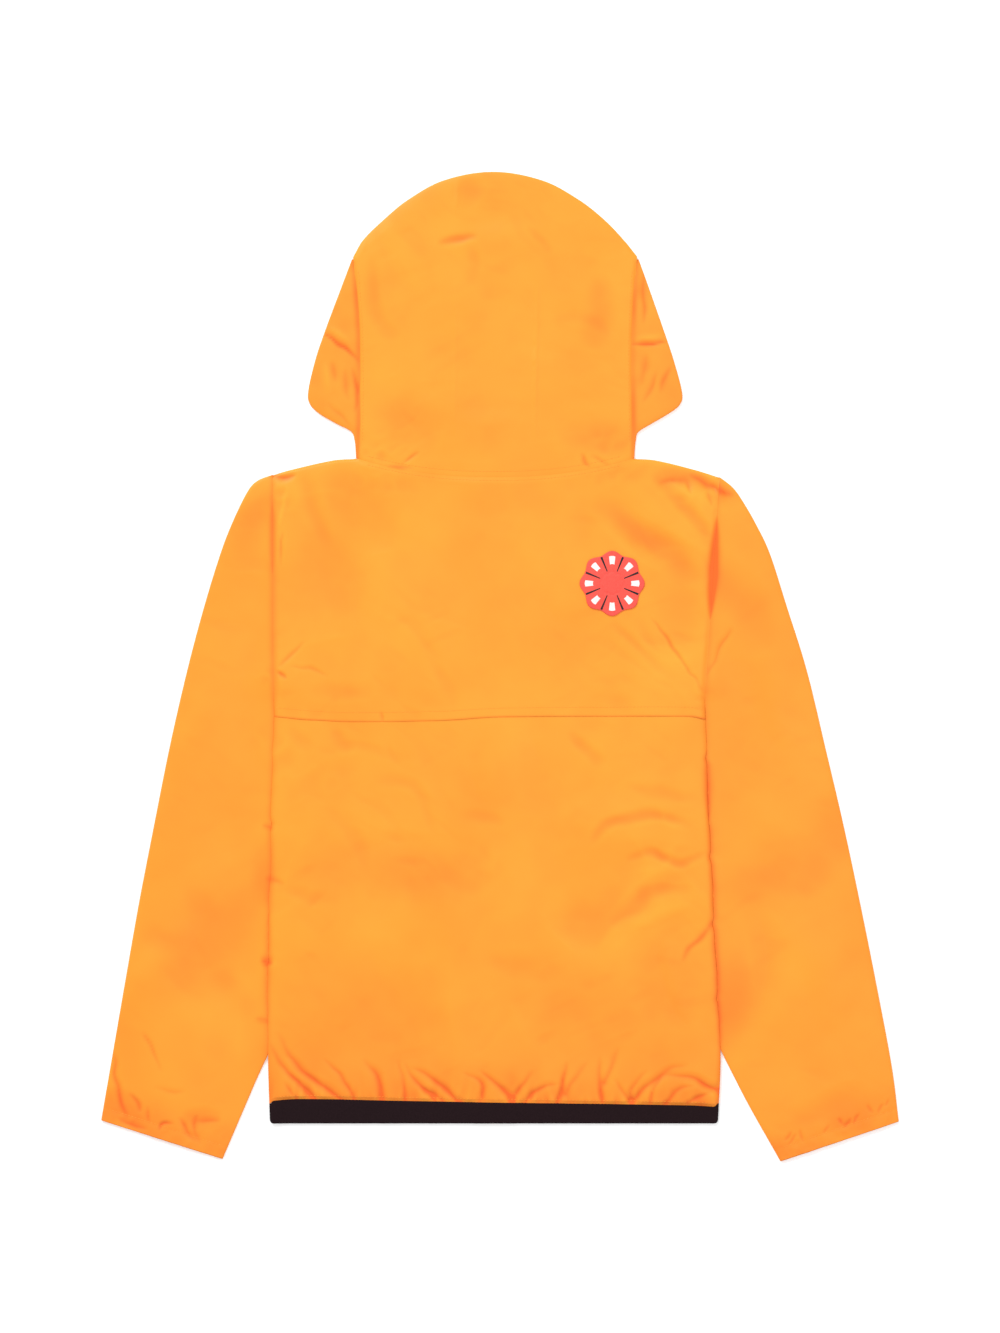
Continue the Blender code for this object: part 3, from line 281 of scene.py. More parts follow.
SOFT_FOLDS = YOKE_FOLDS + BACK_FOLDS + SLEEVE_FOLDS + HOOD_FOLDS

# Soft creases of the underside, which rise off the surface.
UNDER_FOLDS = [
    # half width, height, points
    (0.010, 0.0009, (-0.176, 0.070), (-0.130, 0.040), (-0.070, 0.028)),
    (0.012, 0.0010, (-0.186, -0.050), (-0.140, -0.096), (-0.112, -0.160)),
    (0.009, 0.0007, (-0.090, -0.190), (-0.050, -0.236), (-0.024, -0.300)),
    (0.010, 0.0008, (-0.170, -0.300), (-0.128, -0.350), (-0.110, -0.404)),
    (0.011, 0.0010, (0.160, 0.086), (0.106, 0.044), (0.058, 0.034)),
    (0.010, 0.0008, (0.150, -0.086), (0.100, -0.120), (0.050, -0.128)),
    (0.012, 0.0009, (0.130, -0.210), (0.092, -0.262), (0.074, -0.330)),
    (0.008, 0.0007, (0.150, -0.316), (0.120, -0.360), (0.112, -0.406)),
    (0.012, 0.0010, (-0.300, 0.010), (-0.262, -0.030), (-0.240, -0.090)),
    (0.010, 0.0009, (-0.340, -0.200), (-0.290, -0.226), (-0.236, -0.232)),
    (0.010, 0.0008, (-0.360, -0.330), (-0.318, -0.360), (-0.288, -0.410)),
    (0.012, 0.0010, (0.290, 0.000), (0.250, -0.050), (0.232, -0.110)),
    (0.010, 0.0009, (0.340, -0.180), (0.290, -0.222), (0.226, -0.236)),
    (0.009, 0.0008, (0.356, -0.346), (0.310, -0.366), (0.292, -0.420)),
]

# Sharp creases, as thin cloth pinches them.
BACK_CREASES = [
    # half width, height, points
    (0.0040, 0.0008, (-0.212, 0.182), (-0.218, 0.152), (-0.222, 0.138)),
    (0.0040, -0.0009, (-0.217, 0.136), (-0.219, 0.120), (-0.219, 0.100)),
    (0.0045, -0.0010, (-0.224, -0.002), (-0.210, 0.010), (-0.194, 0.026)),
    (0.0045, -0.0007, (-0.212, 0.000), (-0.190, -0.002), (-0.170, -0.010)),
    (0.0050, -0.0016, (-0.224, -0.004), (-0.212, -0.012)),
    (0.0038, -0.0011, (0.150, 0.050), (0.166, 0.030), (0.182, 0.006), (0.206, -0.028)),
    (0.0072, -0.0013, (0.232, 0.040), (0.220, 0.018), (0.206, -0.014)),
    (0.0066, -0.0009, (0.156, 0.182), (0.172, 0.187), (0.190, 0.187)),
    (0.0072, -0.0012, (0.188, 0.191), (0.204, 0.184), (0.216, 0.178)),
    (0.0066, -0.0012, (0.208, 0.184), (0.222, 0.176), (0.236, 0.172)),
    (0.0050, -0.0009, (0.188, 0.186), (0.192, 0.170)),
    (0.0050, -0.0008, (0.208, 0.176), (0.212, 0.158)),
    (0.0070, -0.0018, (-0.232, 0.190), (-0.216, 0.189), (-0.204, 0.192)),
    (0.0045, -0.0013, (-0.116, 0.200), (-0.084, 0.198)),
    (0.0040, -0.0012, (-0.098, 0.202), (-0.080, 0.216)),
    (0.0040, -0.0012, (0.080, 0.214), (0.090, 0.198)),
    (0.0038, -0.0008, (0.090, 0.212), (0.114, 0.198)),
    (0.0032, -0.0008, (-0.118, -0.044), (-0.118, -0.056)),
    (0.0066, -0.0017, (0.212, -0.252), (0.200, -0.270), (0.180, -0.294)),
    (0.0060, -0.0010, (-0.238, -0.158), (-0.225, -0.162)),
    (0.0075, -0.0008, (-0.236, -0.211), (-0.214, -0.217)),
    (0.0085, -0.0020, (-0.242, -0.291), (-0.226, -0.297)),
    (0.0055, -0.0009, (-0.246, -0.352), (-0.230, -0.357)),
]
CUFF_CREASES = [
    # half width, height, points
    (0.0045, -0.0008, (-0.358, -0.364), (-0.350, -0.378), (-0.336, -0.408)),
    (0.0064, -0.0016, (-0.388, -0.380), (-0.384, -0.410), (-0.380, -0.434), (-0.373, -0.454)),
    (0.0058, -0.0013, (-0.371, -0.426), (-0.362, -0.436), (-0.360, -0.448)),
    (0.0070, -0.0006, (-0.346, -0.420), (-0.328, -0.425), (-0.314, -0.424)),
    (0.0056, -0.0010, (-0.354, -0.438), (-0.350, -0.458)),
    (0.0056, -0.0010, (-0.384, -0.452), (-0.352, -0.464)),
    (0.0046, -0.0015, (-0.343, -0.464), (-0.336, -0.456), (-0.325, -0.456)),
    (0.0058, -0.0013, (-0.322, -0.450), (-0.314, -0.464), (-0.304, -0.476)),
    (0.0058, -0.0011, (-0.302, -0.448), (-0.306, -0.462), (-0.300, -0.478)),
    (0.0062, -0.0008, (-0.306, -0.454), (-0.278, -0.453)),
    (0.0034, -0.0008, (0.284, -0.475), (0.292, -0.465)),
    (0.0032, -0.0007, (0.289, -0.478), (0.297, -0.466)),
    (0.0032, -0.0007, (0.302, -0.475), (0.299, -0.462)),
    (0.0032, -0.0006, (0.323, -0.467), (0.330, -0.457)),
    (0.0036, -0.0009, (0.337, -0.450), (0.344, -0.459)),
    (0.0036, -0.0009, (0.343, -0.461), (0.351, -0.451)),
    (0.0036, -0.0008, (0.352, -0.458), (0.360, -0.446)),
    (0.0032, -0.0007, (0.367, -0.437), (0.374, -0.447)),
    (0.0032, -0.0007, (0.377, -0.447), (0.383, -0.436)),
    (0.0032, -0.0006, (0.384, -0.441), (0.390, -0.432)),
]
CREASE_LINES = BACK_CREASES + CUFF_CREASES

# Creases of the hood's sides.
SIDE_CREASES = [
    # half width, height, points
    (0.0046, -0.0017, (-0.180, 0.336), (-0.164, 0.324), (-0.152, 0.316), (-0.140, 0.304)),
    (0.0060, 0.0009, (-0.174, 0.340), (-0.148, 0.324)),
    (0.0050, -0.0011, (-0.148, 0.300), (-0.144, 0.278), (-0.144, 0.252)),
    (0.0075, -0.0007, (-0.167, 0.308), (-0.161, 0.280)),
    (0.0075, -0.0007, (-0.155, 0.300), (-0.151, 0.264)),
    (0.0065, 0.0006, (-0.176, 0.304), (-0.172, 0.272)),
    (0.0070, -0.0006, (-0.172, 0.262), (-0.148, 0.238)),
    (0.0080, -0.0013, (0.142, 0.400), (0.146, 0.340)),
    (0.0050, 0.0008, (0.134, 0.328), (0.164, 0.330)),
    (0.0044, -0.0016, (0.130, 0.322), (0.150, 0.322), (0.168, 0.324)),
    (0.0065, -0.0009, (0.156, 0.296), (0.152, 0.280), (0.143, 0.262)),
    (0.0065, -0.0009, (0.171, 0.302), (0.158, 0.270)),
    (0.0080, -0.0006, (0.146, 0.312), (0.142, 0.280)),
]

# Faint lines where the hood was pressed, slightly raised.
HOOD_LINES = [
    # half width, height, points
    (0.0032, 0.0006, (-0.042, 0.492), (-0.044, 0.450)),
    (0.0032, 0.0005, (-0.044, 0.385), (-0.045, 0.300), (-0.045, 0.215)),
    (0.0030, 0.0010, (0.038, 0.392), (0.036, 0.310), (0.035, 0.222)),
]

# Gathers over the hem band, from the band upwards.
HEM_GATHERS = [
    # half width, height, points
    (0.0078, -0.0022, (-0.155, -0.434), (-0.184, -0.414), (-0.204, -0.396), (-0.224, -0.364)),
    (0.0078, -0.0023, (-0.180, -0.434), (-0.199, -0.418), (-0.214, -0.403), (-0.230, -0.374)),
    (0.0060, -0.0014, (-0.144, -0.436), (-0.159, -0.408), (-0.178, -0.392)),
    (0.0050, -0.0012, (-0.204, -0.434), (-0.217, -0.414)),
    (0.0074, -0.0020, (-0.118, -0.436), (-0.122, -0.411), (-0.138, -0.392)),
    (0.0060, -0.0011, (-0.094, -0.434), (-0.101, -0.392)),
    (0.0074, -0.0021, (-0.056, -0.436), (-0.078, -0.420), (-0.098, -0.396)),
    (0.0078, -0.0023, (-0.040, -0.436), (-0.066, -0.414), (-0.090, -0.400)),
    (0.0052, -0.0013, (-0.062, -0.436), (-0.083, -0.418)),
    (0.0060, -0.0016, (-0.020, -0.436), (-0.017, -0.418), (-0.038, -0.404)),
    (0.0080, -0.0025, (0.014, -0.436), (0.000, -0.420), (-0.020, -0.402)),
    (0.0064, -0.0018, (0.012, -0.436), (0.021, -0.420), (0.034, -0.404)),
    (0.0068, -0.0019, (0.024, -0.436), (0.041, -0.420), (0.058, -0.416)),
    (0.0064, -0.0020, (0.057, -0.436), (0.063, -0.418), (0.068, -0.392)),
    (0.0070, -0.0012, (0.066, -0.426), (0.074, -0.414), (0.088, -0.392)),
    (0.0068, -0.0013, (0.102, -0.436), (0.100, -0.388)),
    (0.0070, -0.0013, (0.106, -0.416), (0.112, -0.400), (0.120, -0.380)),
    (0.0050, -0.0013, (0.130, -0.434), (0.114, -0.412)),
    (0.0064, -0.0018, (0.129, -0.436), (0.133, -0.422), (0.148, -0.402)),
    (0.0080, -0.0024, (0.134, -0.436), (0.146, -0.420), (0.161, -0.408), (0.190, -0.396)),
    (0.0056, -0.0017, (0.150, -0.436), (0.154, -0.422), (0.164, -0.406)),
    (0.0056, -0.0016, (0.166, -0.436), (0.176, -0.423), (0.196, -0.418)),
    (0.0090, -0.0027, (0.226, -0.424), (0.204, -0.416), (0.186, -0.409), (0.160, -0.408)),
    (0.0052, -0.0014, (0.188, -0.436), (0.214, -0.424)),
]

# Where the armholes and side seams gape, each a spindle along the seam, which sinks there and gets painted
# shade.
SEAM_GAPES = [
    # side, y, half length, half width, share
    (1, 0.098, 0.052, 0.0052, 0.95),
    (1, -0.118, 0.036, 0.0044, 0.45),
    (1, -0.260, 0.150, 0.0036, 0.36),
    (-1, 0.128, 0.036, 0.0036, 0.24),
    (-1, 0.060, 0.130, 0.0050, 0.12),
    (-1, -0.200, 0.060, 0.0050, 0.10),
    (-1, -0.300, 0.060, 0.0040, 0.20),
]
# Painted shade along every armhole and side seam, and how far it reaches from the seam.
SEAM_SHADE = 0.20
SEAM_SHADE_REACH = 0.0034

# Places where the cloth is finely crumpled.
CRUMPLES = [
    # x, y, radius, size of a wrinkle, height
    (0.205, 0.178, 0.030, 0.0140, 0.00022),
    (-0.218, 0.180, 0.026, 0.0130, 0.00024),
    (-0.225, -0.008, 0.018, 0.0100, 0.00025),
    (0.205, -0.030, 0.016, 0.0100, 0.00022),
    (-0.115, 0.200, 0.030, 0.0110, 0.00030),
    (0.105, 0.205, 0.026, 0.0110, 0.00026),
    (0.170, -0.190, 0.050, 0.0190, 0.00030),
    (-0.200, -0.090, 0.050, 0.0170, 0.00028),
]
FRONT_GATHERS = 11
FRONT_GATHER_DEPTH = 0.0016
CUFF_GATHERS = 10
CUFF_GATHER_REACH = 0.036
CUFF_GATHER_DEPTH = 0.0013

# How far the band's top edge lies above its mean line.
BAND_EDGE = [
    # x, rise
    (-0.2310, 0.0028),
    (-0.2000, 0.0046),
    (-0.1000, 0.0028),
    (0.0000, 0.0010),
    (0.1900, -0.0018),
    (0.2200, -0.0036),
]

# Small nicks in the side seams.
SIDE_NICKS = [
    # which side, y, half height, depth
    (0, -0.158, 0.006, 0.0016),
    (0, -0.2935, 0.005, 0.0014),
    (1, -0.092, 0.006, 0.0012),
    (1, -0.190, 0.007, 0.0016),
    (1, -0.256, 0.006, 0.0018),
    (1, -0.330, 0.006, 0.0010),
]

# Slow unevenness of the cloth, from large and soft to small.
DRAPE = [
    # size of a feature, height
    (0.110, 0.00052),
    (0.052, 0.00044),
    (0.024, 0.00020),
    (0.010, 0.00006),
]

# Faint troughs all over, in layers that lie at different angles.
WISPS = [
    # turn in degrees, length, width, depth
    (-6, 0.050, 0.0150, 0.00032),
    (28, 0.034, 0.0110, 0.00022),
    (-38, 0.030, 0.0090, 0.00015),
]
UNEVEN_WIDE = 0.60
UNEVEN_NARROW = 0.28
CALM_SLEEVE = 0.60
SEAM_DEPTH = 0.0008
SEAM_REACH = 0.0035
CUFF_HEM = 0.013
NECK_DEPTH = 0.00025
SEEN_LIFT = 0.0006
SOFT_EDGE = 0.005
BASE_TONE = 0.17
# Painted shade over the whole of each sleeve.
SLEEVE_SHADE = 0.07
# Painted shade in creases and sags, and a paler colour on ridges, over three reaches.
TONES = [
    # reach, tone for each metre of depth below the cloth around
    (0.004, 260.0),
    (0.010, 160.0),
    (0.045, 110.0),
]

# Sizes of seams, edges, gathers and grids. A dome is how far in from an edge a panel is at its full height.
MIDDLE = WALL + CLEAR / 2
SEAM_SWITCH = 0.012
SEWN_REACH = 0.0025
GAPE_DEPTH = 0.0016
CREASE_FADE = 0.020
SIDE_DOME = 0.040
SHOULDER_DOME = 0.026
HEM_DOME = 0.070
SLEEVE_DOME = 0.034
CREASE_DOME = 0.045
CROWN_DOME = 0.022
SLEEVE_EDGE = 0.0016
HOOD_EDGE = 0.0011
PUFF_REACH = 0.045
PUFF_HEIGHT = 0.0007
PUCKER_REACH = 0.009
PUCKER_HEIGHT = 0.0008
FRONT_GATHER_REACH = 0.034
FRONT_GATHER_SPAN = 0.220
BACK_ROW_STEP = 0.0020
GATHER_ROW_STEP = 0.0010
BACK_COLUMNS = 272
BAND_COLUMNS = 460
EDGE_STEPS = np.array([0.0, 0.00012, 0.00045, 0.0010, 0.0018])
BAND_DROPS = np.array([0.0, 0.0006, 0.002, 0.005, 0.008, 0.011, 0.014, 0.017, 0.0190, 0.0200, 0.0205])
RIB_PITCH = 0.0032
RIB_HEIGHT = 0.00012
BAND_PUFF = 0.0012
FLAP_EDGE_WANDER = 0.0004
FLAP_EDGE_WAVE = 0.0003
FLAP_OPEN_RISE = 0.0006
HOOD_SAG = 0.0007
HOOD_SAG_Y = 0.335
CROWN_SLOPE = 0.75
HOOD_SIDE_SWELL = 0.0015
SLEEVE_BULGE_REACH = 0.007
ARMPIT_BULGE_REACH = 0.016
ARMPIT_BULGE_HALF = 0.045
CUFF_ROUND = 0.130
CUFF_CRINKLE = 0.0005
CUFF_FINE_CRINKLE = 0.0002
CUFF_CRINKLE_REACH = 0.030
CUFF_HEM_GROOVE = 0.0002
CUFF_HEM_GROOVE_REACH = 0.0018

# How far each row of stitches is from its seam or edge.
FLAP_STITCH = 0.0090
NECK_STITCH_BELOW = 0.0030
NECK_STITCH_ABOVE = 0.0060
HEM_STITCH = 0.0030
HOOD_STITCH = 0.0042
TOOTH_PITCH = 0.0024
TOOTH = (0.0026, 0.0010, 0.0016)
NOISE_CELLS = 61
BEND_LINES = 5

# What differs between left, at -1, and right, at 1.
NAMES = {-1: "left", 1: "right"}
SLEEVES = {-1: LEFT_SLEEVE, 1: RIGHT_SLEEVE}
HOOD_SIDES = {-1: LEFT_HOOD_SIDE, 1: RIGHT_HOOD_SIDE}
SLEEVE_SEEDS = {-1: 80, 1: 90}
BACK_SEED = 60
FRONT_SEED = 66
UNDER_SLEEVE_SEED = 67
HOOD_SEED = 100
HOOD_SIDE_SEED = 110


def step(low, high, value):
    """0 below low, 1 above high and smooth between; low may be the larger."""
    t = np.clip((value - low) / (high - low), 0.0, 1.0)
    return t * t * (3 - 2 * t)


def rise(distance, reach):
    """The height of a rounded edge, from 0 at the edge to 1 a reach inside it."""
    t = np.clip(distance / reach, 0.0, 1.0)
    return np.sqrt(1 - (1 - t) ** 2)


def bell(away, reach):
    """1 at no distance, and smoothly less on both sides."""
    return np.exp(-((away / reach) ** 2))


def mix(a, b, share):
    return a + (b - a) * share


def meet(z, away, level, reach):
    """Brings a surface to the height of a seam at that seam."""
    return mix(z, level, bell(away, reach))


def roll(z, middle, from_edge, amount=1.0, reach=ROUND):
    """Turns an edge of a layer down, or up, to the middle height of its seam."""
    return mix(z, mix(middle, z, rise(from_edge, reach)), amount)


def spline(table, at):
    """The other columns of a table at values of its first column, on a smooth curve through the rows."""
    rows = np.array(sorted(table), float)
    knots, values = rows[:, 0], rows[:, 1:]
    at = np.asarray(at, float)
    k = np.clip(np.searchsorted(knots, at, side="right") - 1, 0, len(knots) - 2)
    slopes = np.empty_like(values)
    slopes[1:-1] = (values[2:] - values[:-2]) / (knots[2:] - knots[:-2])[:, None]
    slopes[0] = (values[1] - values[0]) / (knots[1] - knots[0])
    slopes[-1] = (values[-1] - values[-2]) / (knots[-1] - knots[-2])
    span = (knots[k + 1] - knots[k])[..., None]
    t = np.clip((at - knots[k])[..., None] / span, 0.0, 1.0)
    out = values[k] * (1 + 2 * t) * (1 - t) ** 2 + slopes[k] * span * t * (1 - t) ** 2
    out += values[k + 1] * t * t * (3 - 2 * t) - slopes[k + 1] * span * t * t * (1 - t)
    return [out[..., c] for c in range(out.shape[-1])]


def row_at(table, share):
    """A table's columns some share of the way down its rows."""
    return spline([(i, *row) for i, row in enumerate(table)], np.asarray(share) * (len(table) - 1))


def ripple(x, y, size, seed):
    """Smooth noise from -1 to 1 with features of a given size, its cells turned by an angle of the seed's."""
    cells = NOISE_CELLS
    values = np.random.RandomState(seed).uniform(-1, 1, (cells, cells))
    c, s = math.cos(1.1 + seed), math.sin(1.1 + seed)
    x, y = np.asarray(x), np.asarray(y)
    gx, gy = (x * c - y * s) / size + 1000, (x * s + y * c) / size + 1000
    i, j = np.floor(gx).astype(int), np.floor(gy).astype(int)
    u, v = step(0.0, 1.0, gx - i), step(0.0, 1.0, gy - j)
    i, j, right, up = i % cells, j % cells, (i + 1) % cells, (j + 1) % cells
    return mix(mix(values[i, j], values[right, j], u), mix(values[i, up], values[right, up], u), v)


def drape(x, y, seed):
    """Unevenness of cloth that lies loosely, with wisps that are livelier in some places than in others."""
    out = 0.0
    for k, (size, height) in enumerate(DRAPE):
        out = out + height * ripple(x, y, size, seed + k)
    for k, (turn, length, width, height) in enumerate(WISPS):
        c, s = math.cos(math.radians(turn)), math.sin(math.radians(turn))
        lively = step(-0.20, 0.80, ripple(x, y, 0.085, seed + 20 + k))
        bent = y * c - x * s + 0.010 * ripple(x, y, 0.045, seed + 30 + k)
        wisp = ripple((x * c + y * s) * width / length, bent, width, seed + 40 + k)
        out = out - height * lively * step(0.05, 0.85, wisp)
    return out


def pinched(x, y, size, seed):
    """Noise from -1 to 1 whose tops are sharp ridges, as in crumpled cloth."""
    return 1 - 2 * np.abs(ripple(x, y, size, seed))


def crumpled(x, y):
    """Fine wrinkles in the places where the cloth is crumpled."""
    out = 0.0
    for k, (cx, cy, radius, size, height) in enumerate(CRUMPLES):
        near = np.exp(-((np.hypot(x - cx, y - cy) / radius) ** 3))
        out = out + height * near * pinched(x, y, size, 131 + k)
    return out


def smooth_line(points):
    """Points close together on a smooth curve through a fold's points."""
    table = [(k, *point) for k, point in enumerate(points)]
    return spline(table, np.linspace(0, len(points) - 1, BEND_LINES * (len(points) - 1) + 1))


def fold(x, y, sharp, from_band, half, height, *points):
    """Height of one fold along a curve, narrower and lower to its ends, and pinched across where sharp."""
    out = np.zeros(np.shape(x))
    xs, ys = smooth_line(points)
    room = 1.8 * half
    near = (x > xs.min() - room) & (x < xs.max() + room) & (y > ys.min() - room) & (y < ys.max() + room)
    if not near.any():
        return out
    px, py = x[near], y[near]
    wander = mix(UNEVEN_NARROW, UNEVEN_WIDE, step(0.012, 0.040, half))
    shift_x, shift_y = (wander * half * ripple(px, py, 2.0 * half, seed) for seed in (11, 12))
    px, py = px + shift_x, py + shift_y
    best, along = np.full(px.shape, 1.0), np.zeros(px.shape)
    for k in range(len(xs) - 1):
        dx, dy = xs[k + 1] - xs[k], ys[k + 1] - ys[k]
        t = np.clip(((px - xs[k]) * dx + (py - ys[k]) * dy) / (dx * dx + dy * dy), 0, 1)
        away = np.hypot(px - xs[k] - dx * t, py - ys[k] - dy * t)
        closer = away < best
        best[closer] = away[closer]
        along[closer] = (k + t[closer]) / (len(xs) - 1)
    from_middle = along if from_band else np.abs(2 * along - 1)
    fuller = np.clip(1 - from_middle**2, 0, 1)
    share = np.clip(best / (half * (0.45 + 0.55 * np.sqrt(fuller))), 0, 1)
    across = (1 - share) ** 1.6 if sharp else (1 - share**2) ** 2
    out[near] = height * across * fuller
    return out


def total(rows, x, y, sharp=False, from_band=False):
    x, y = np.broadcast_arrays(x, y)
    return sum(fold(x, y, sharp, from_band, *row) for row in rows)


def waves(x, y):
    return total(WAVES, x, y)


def relief(x, y, seed, uneven=1.0):
    """Folds, creases and unevenness of the cloth on top."""
    x, y = np.broadcast_arrays(x, y)
    folds = total(SOFT_FOLDS, x, y) + total(CREASE_LINES, x, y, sharp=True)
    return folds + drape(x, y, seed) * uneven + crumpled(x, y)


def under_folds(x, y, seed):
    """How far soft creases of the underside rise off the surface that it lies on."""
    return total(UNDER_FOLDS, x, y) + 0.00025 * (1 + ripple(x, y, 0.045, seed))


def back_folds(x, y):
    """Folds of the back with the gathers over its hem."""
    return relief(x, y, BACK_SEED) + hem_gather(x, y)


def side_x(y):
    """Left and right edges of the body, a little uneven below the armpits."""
    y = np.asarray(y, float)
    lower = spline(SIDES, np.minimum(y, ARMPIT_Y))
    (bottom, *low), (top, *high) = ARMHOLES[1], ARMHOLES[0]
    t = np.clip((y - bottom) / (top - bottom), 0, 1)
    loose = step(ARMPIT_Y, ARMPIT_Y - 0.02, y) * step(-0.40, -0.37, y)
    edges = []
    for which, inwards in ((0, 1), (1, -1)):
        uneven = 0.0008 * ripple(y, 0 * y, 0.030, 31 + which)
        uneven = uneven + 0.0004 * ripple(y, 0 * y, 0.011, 33 + which)
        for side, at, half, depth in SIDE_NICKS:
            if side == which:
                uneven = uneven + inwards * depth * bell(y - at, half) ** 2
        above = mix(low[which], high[which], t)
        edges.append(np.where(y < ARMPIT_Y, lower[which] + uneven * loose, above))
    return edges


def inside_side(x, y):
    left, right = side_x(y)
    return np.minimum(x - left, right - x)


def shoulder_y(x):
    return np.where(x < CENTRE_X, spline(LEFT_SHOULDER, x)[0], spline(RIGHT_SHOULDER, x)[0])


def neck_share(x):
    return 1 - np.minimum(1.0, np.abs(x - CENTRE_X) / NECK_HALF)


def top_y(x, drop, power):
    """Top edge of the back or of the fronts: a neckline of some drop between the shoulders."""
    across = 1 - neck_share(x)
    return np.where(across < 1, NECK_Y - drop * (1 - across**power), shoulder_y(x))


def back_top_y(x):
    return top_y(x, BACK_NECK_DIP, 2.2)


def front_top_y(x):
    return top_y(x, FRONT_NECK_DROP, 1.8)


def beyond_neck(x):
    """0 at the neck, 1 along the shoulders."""
    return step(NECK_HALF - 0.004, NECK_HALF + 0.003, np.abs(x - CENTRE_X))


def below_armpit(y):
    """Where the sleeve lies under the body: 1 from the armpit down."""
    return step(ARMPIT_Y + 0.026, ARMPIT_Y - 0.004, y)


def past_armhole(y):
    """0 along the armhole, 1 along the side seam."""
    return step(ARMPIT_Y + SEAM_SWITCH, ARMPIT_Y - SEAM_SWITCH, y)


LEFT_INNER = [(row[3], row[2]) for row in LEFT_SLEEVE]
RIGHT_INNER = [(row[3], row[2]) for row in RIGHT_SLEEVE]


def over_sleeve(x, y, start=0.044, full=0.018):
    """How much of the folded sleeve's height the body rides up over it here, from 0 to 1."""
    held_back = 0.060 * step(ARMPIT_Y + 0.004, ARMPIT_Y + 0.055, y)
    past_left = spline(LEFT_INNER, y)[0] - held_back - x
    past_right = x - (spline(RIGHT_INNER, y)[0] + held_back)
    return step(-start, -full, np.maximum(past_left, past_right))


def zip_lift(x, y):
    across = step(0.055, 0.012, np.abs(x - CENTRE_X))
    return ZIP_LIFT * across * step(0.150, 0.185, y) * step(0.262, 0.240, y)


def body_floor(x, y):
    """Underside of the fronts."""
    return (FOLDED_SLEEVE + CLEAR) * over_sleeve(x, y) + waves(x, y) + zip_lift(x, y)


def zip_ridge(x):
    room = ZIP_TOP + CLEAR - WALL
    return room * step(TAPE_REACH + 0.014, TAPE_REACH + 0.002, np.abs(x - CENTRE_X))


def body_gap(x, y):
    """Air between the fronts and the back."""
    side = 1 - below_armpit(y) * (1 - rise(inside_side(x, y), SIDE_DOME))
    at_neck = step(0.0, 0.10, neck_share(x))
    top = at_neck + (1 - at_neck) * rise(shoulder_y(x) - y, SHOULDER_DOME)
    hem = 0.30 + 0.70 * rise(y - HEM_TOP_Y, HEM_DOME)
    return np.maximum(CLEAR + LOFT * side * top * hem, zip_ridge(x))


def band_rise(x):
    """How far the band's top edge is above HEM_TOP_Y, none at the side seams."""
    inside = inside_side(x, np.full(np.shape(x), HEM_TOP_Y))
    return spline(BAND_EDGE, x)[0] * step(0.0, 0.004, inside)


def above_band(x, y):
    return np.clip(y - HEM_TOP_Y - band_rise(x), 0, None)


def hem_gather(x, y):
    """Relief of the gathers over the band, with puffs and puckers between them."""
    up = above_band(x, y)
    folds = total(HEM_GATHERS, x, y, sharp=True, from_band=True)
    puffs = PUFF_HEIGHT * np.clip(1 - up / PUFF_REACH, 0, 1) * ripple(x, up * 0.30, 0.012, 41)
    puckers = PUCKER_HEIGHT * np.exp(-up / PUCKER_REACH) * pinched(x, 0.3 * up, 0.0075, 42)
    return folds + puffs + puckers


def front_gather(x, y):
    """Shallow gathers of the fronts over the band."""
    turns = 2 * math.pi * FRONT_GATHERS * (x - CENTRE_X) / FRONT_GATHER_SPAN
    wave = 0.5 - 0.5 * np.cos(turns + 1.5 * ripple(x, y, 0.05, 4))
    from_zip = np.abs(x - CENTRE_X) - TAPE_REACH
    fade = step(0.0, 0.030, np.minimum(inside_side(x, y), from_zip))
    return FRONT_GATHER_DEPTH * wave * np.clip(1 - (y - HEM_TOP_Y) / FRONT_GATHER_REACH, 0, 1) * fade


def front_z(x, y):
    """Underside of the fronts, gathers included."""
    return body_floor(x, y) + 0.35 * front_gather(x, y)


def seam_level(x, y):
    """Outer face of the back without its folds; over the sleeves it falls off more slowly than the fronts."""
    over = (FOLDED_SLEEVE + CLEAR) * over_sleeve(x, y, start=0.125, full=0.0)
    return over + waves(x, y) + zip_lift(x, y) + 2 * WALL + body_gap(x, y)


def back_top(x, y):
    """Outer face of the back, folds and gathers included."""
    inside = inside_side(x, y)
    puff = BAND_PUFF * step(0.055, 0.012, above_band(x, y)) * step(0.0, 0.02, inside)
    ease = 1 - below_armpit(y) * (1 - rise(inside, 0.006))
    level = seam_level(x, y) + puff + back_folds(x, y) * ease
    return np.maximum(level, front_z(x, y) + 2 * WALL + np.maximum(CLEAR, zip_ridge(x)))


def flap_lift(y):
    """The yoke rises over the top of the lower back, less than in the solids, where the cloth is thicker."""
    full = FLAP_Y + FLAP_LAP + 0.010
    return SEEN_LIFT * step(full + 0.075, full, y)


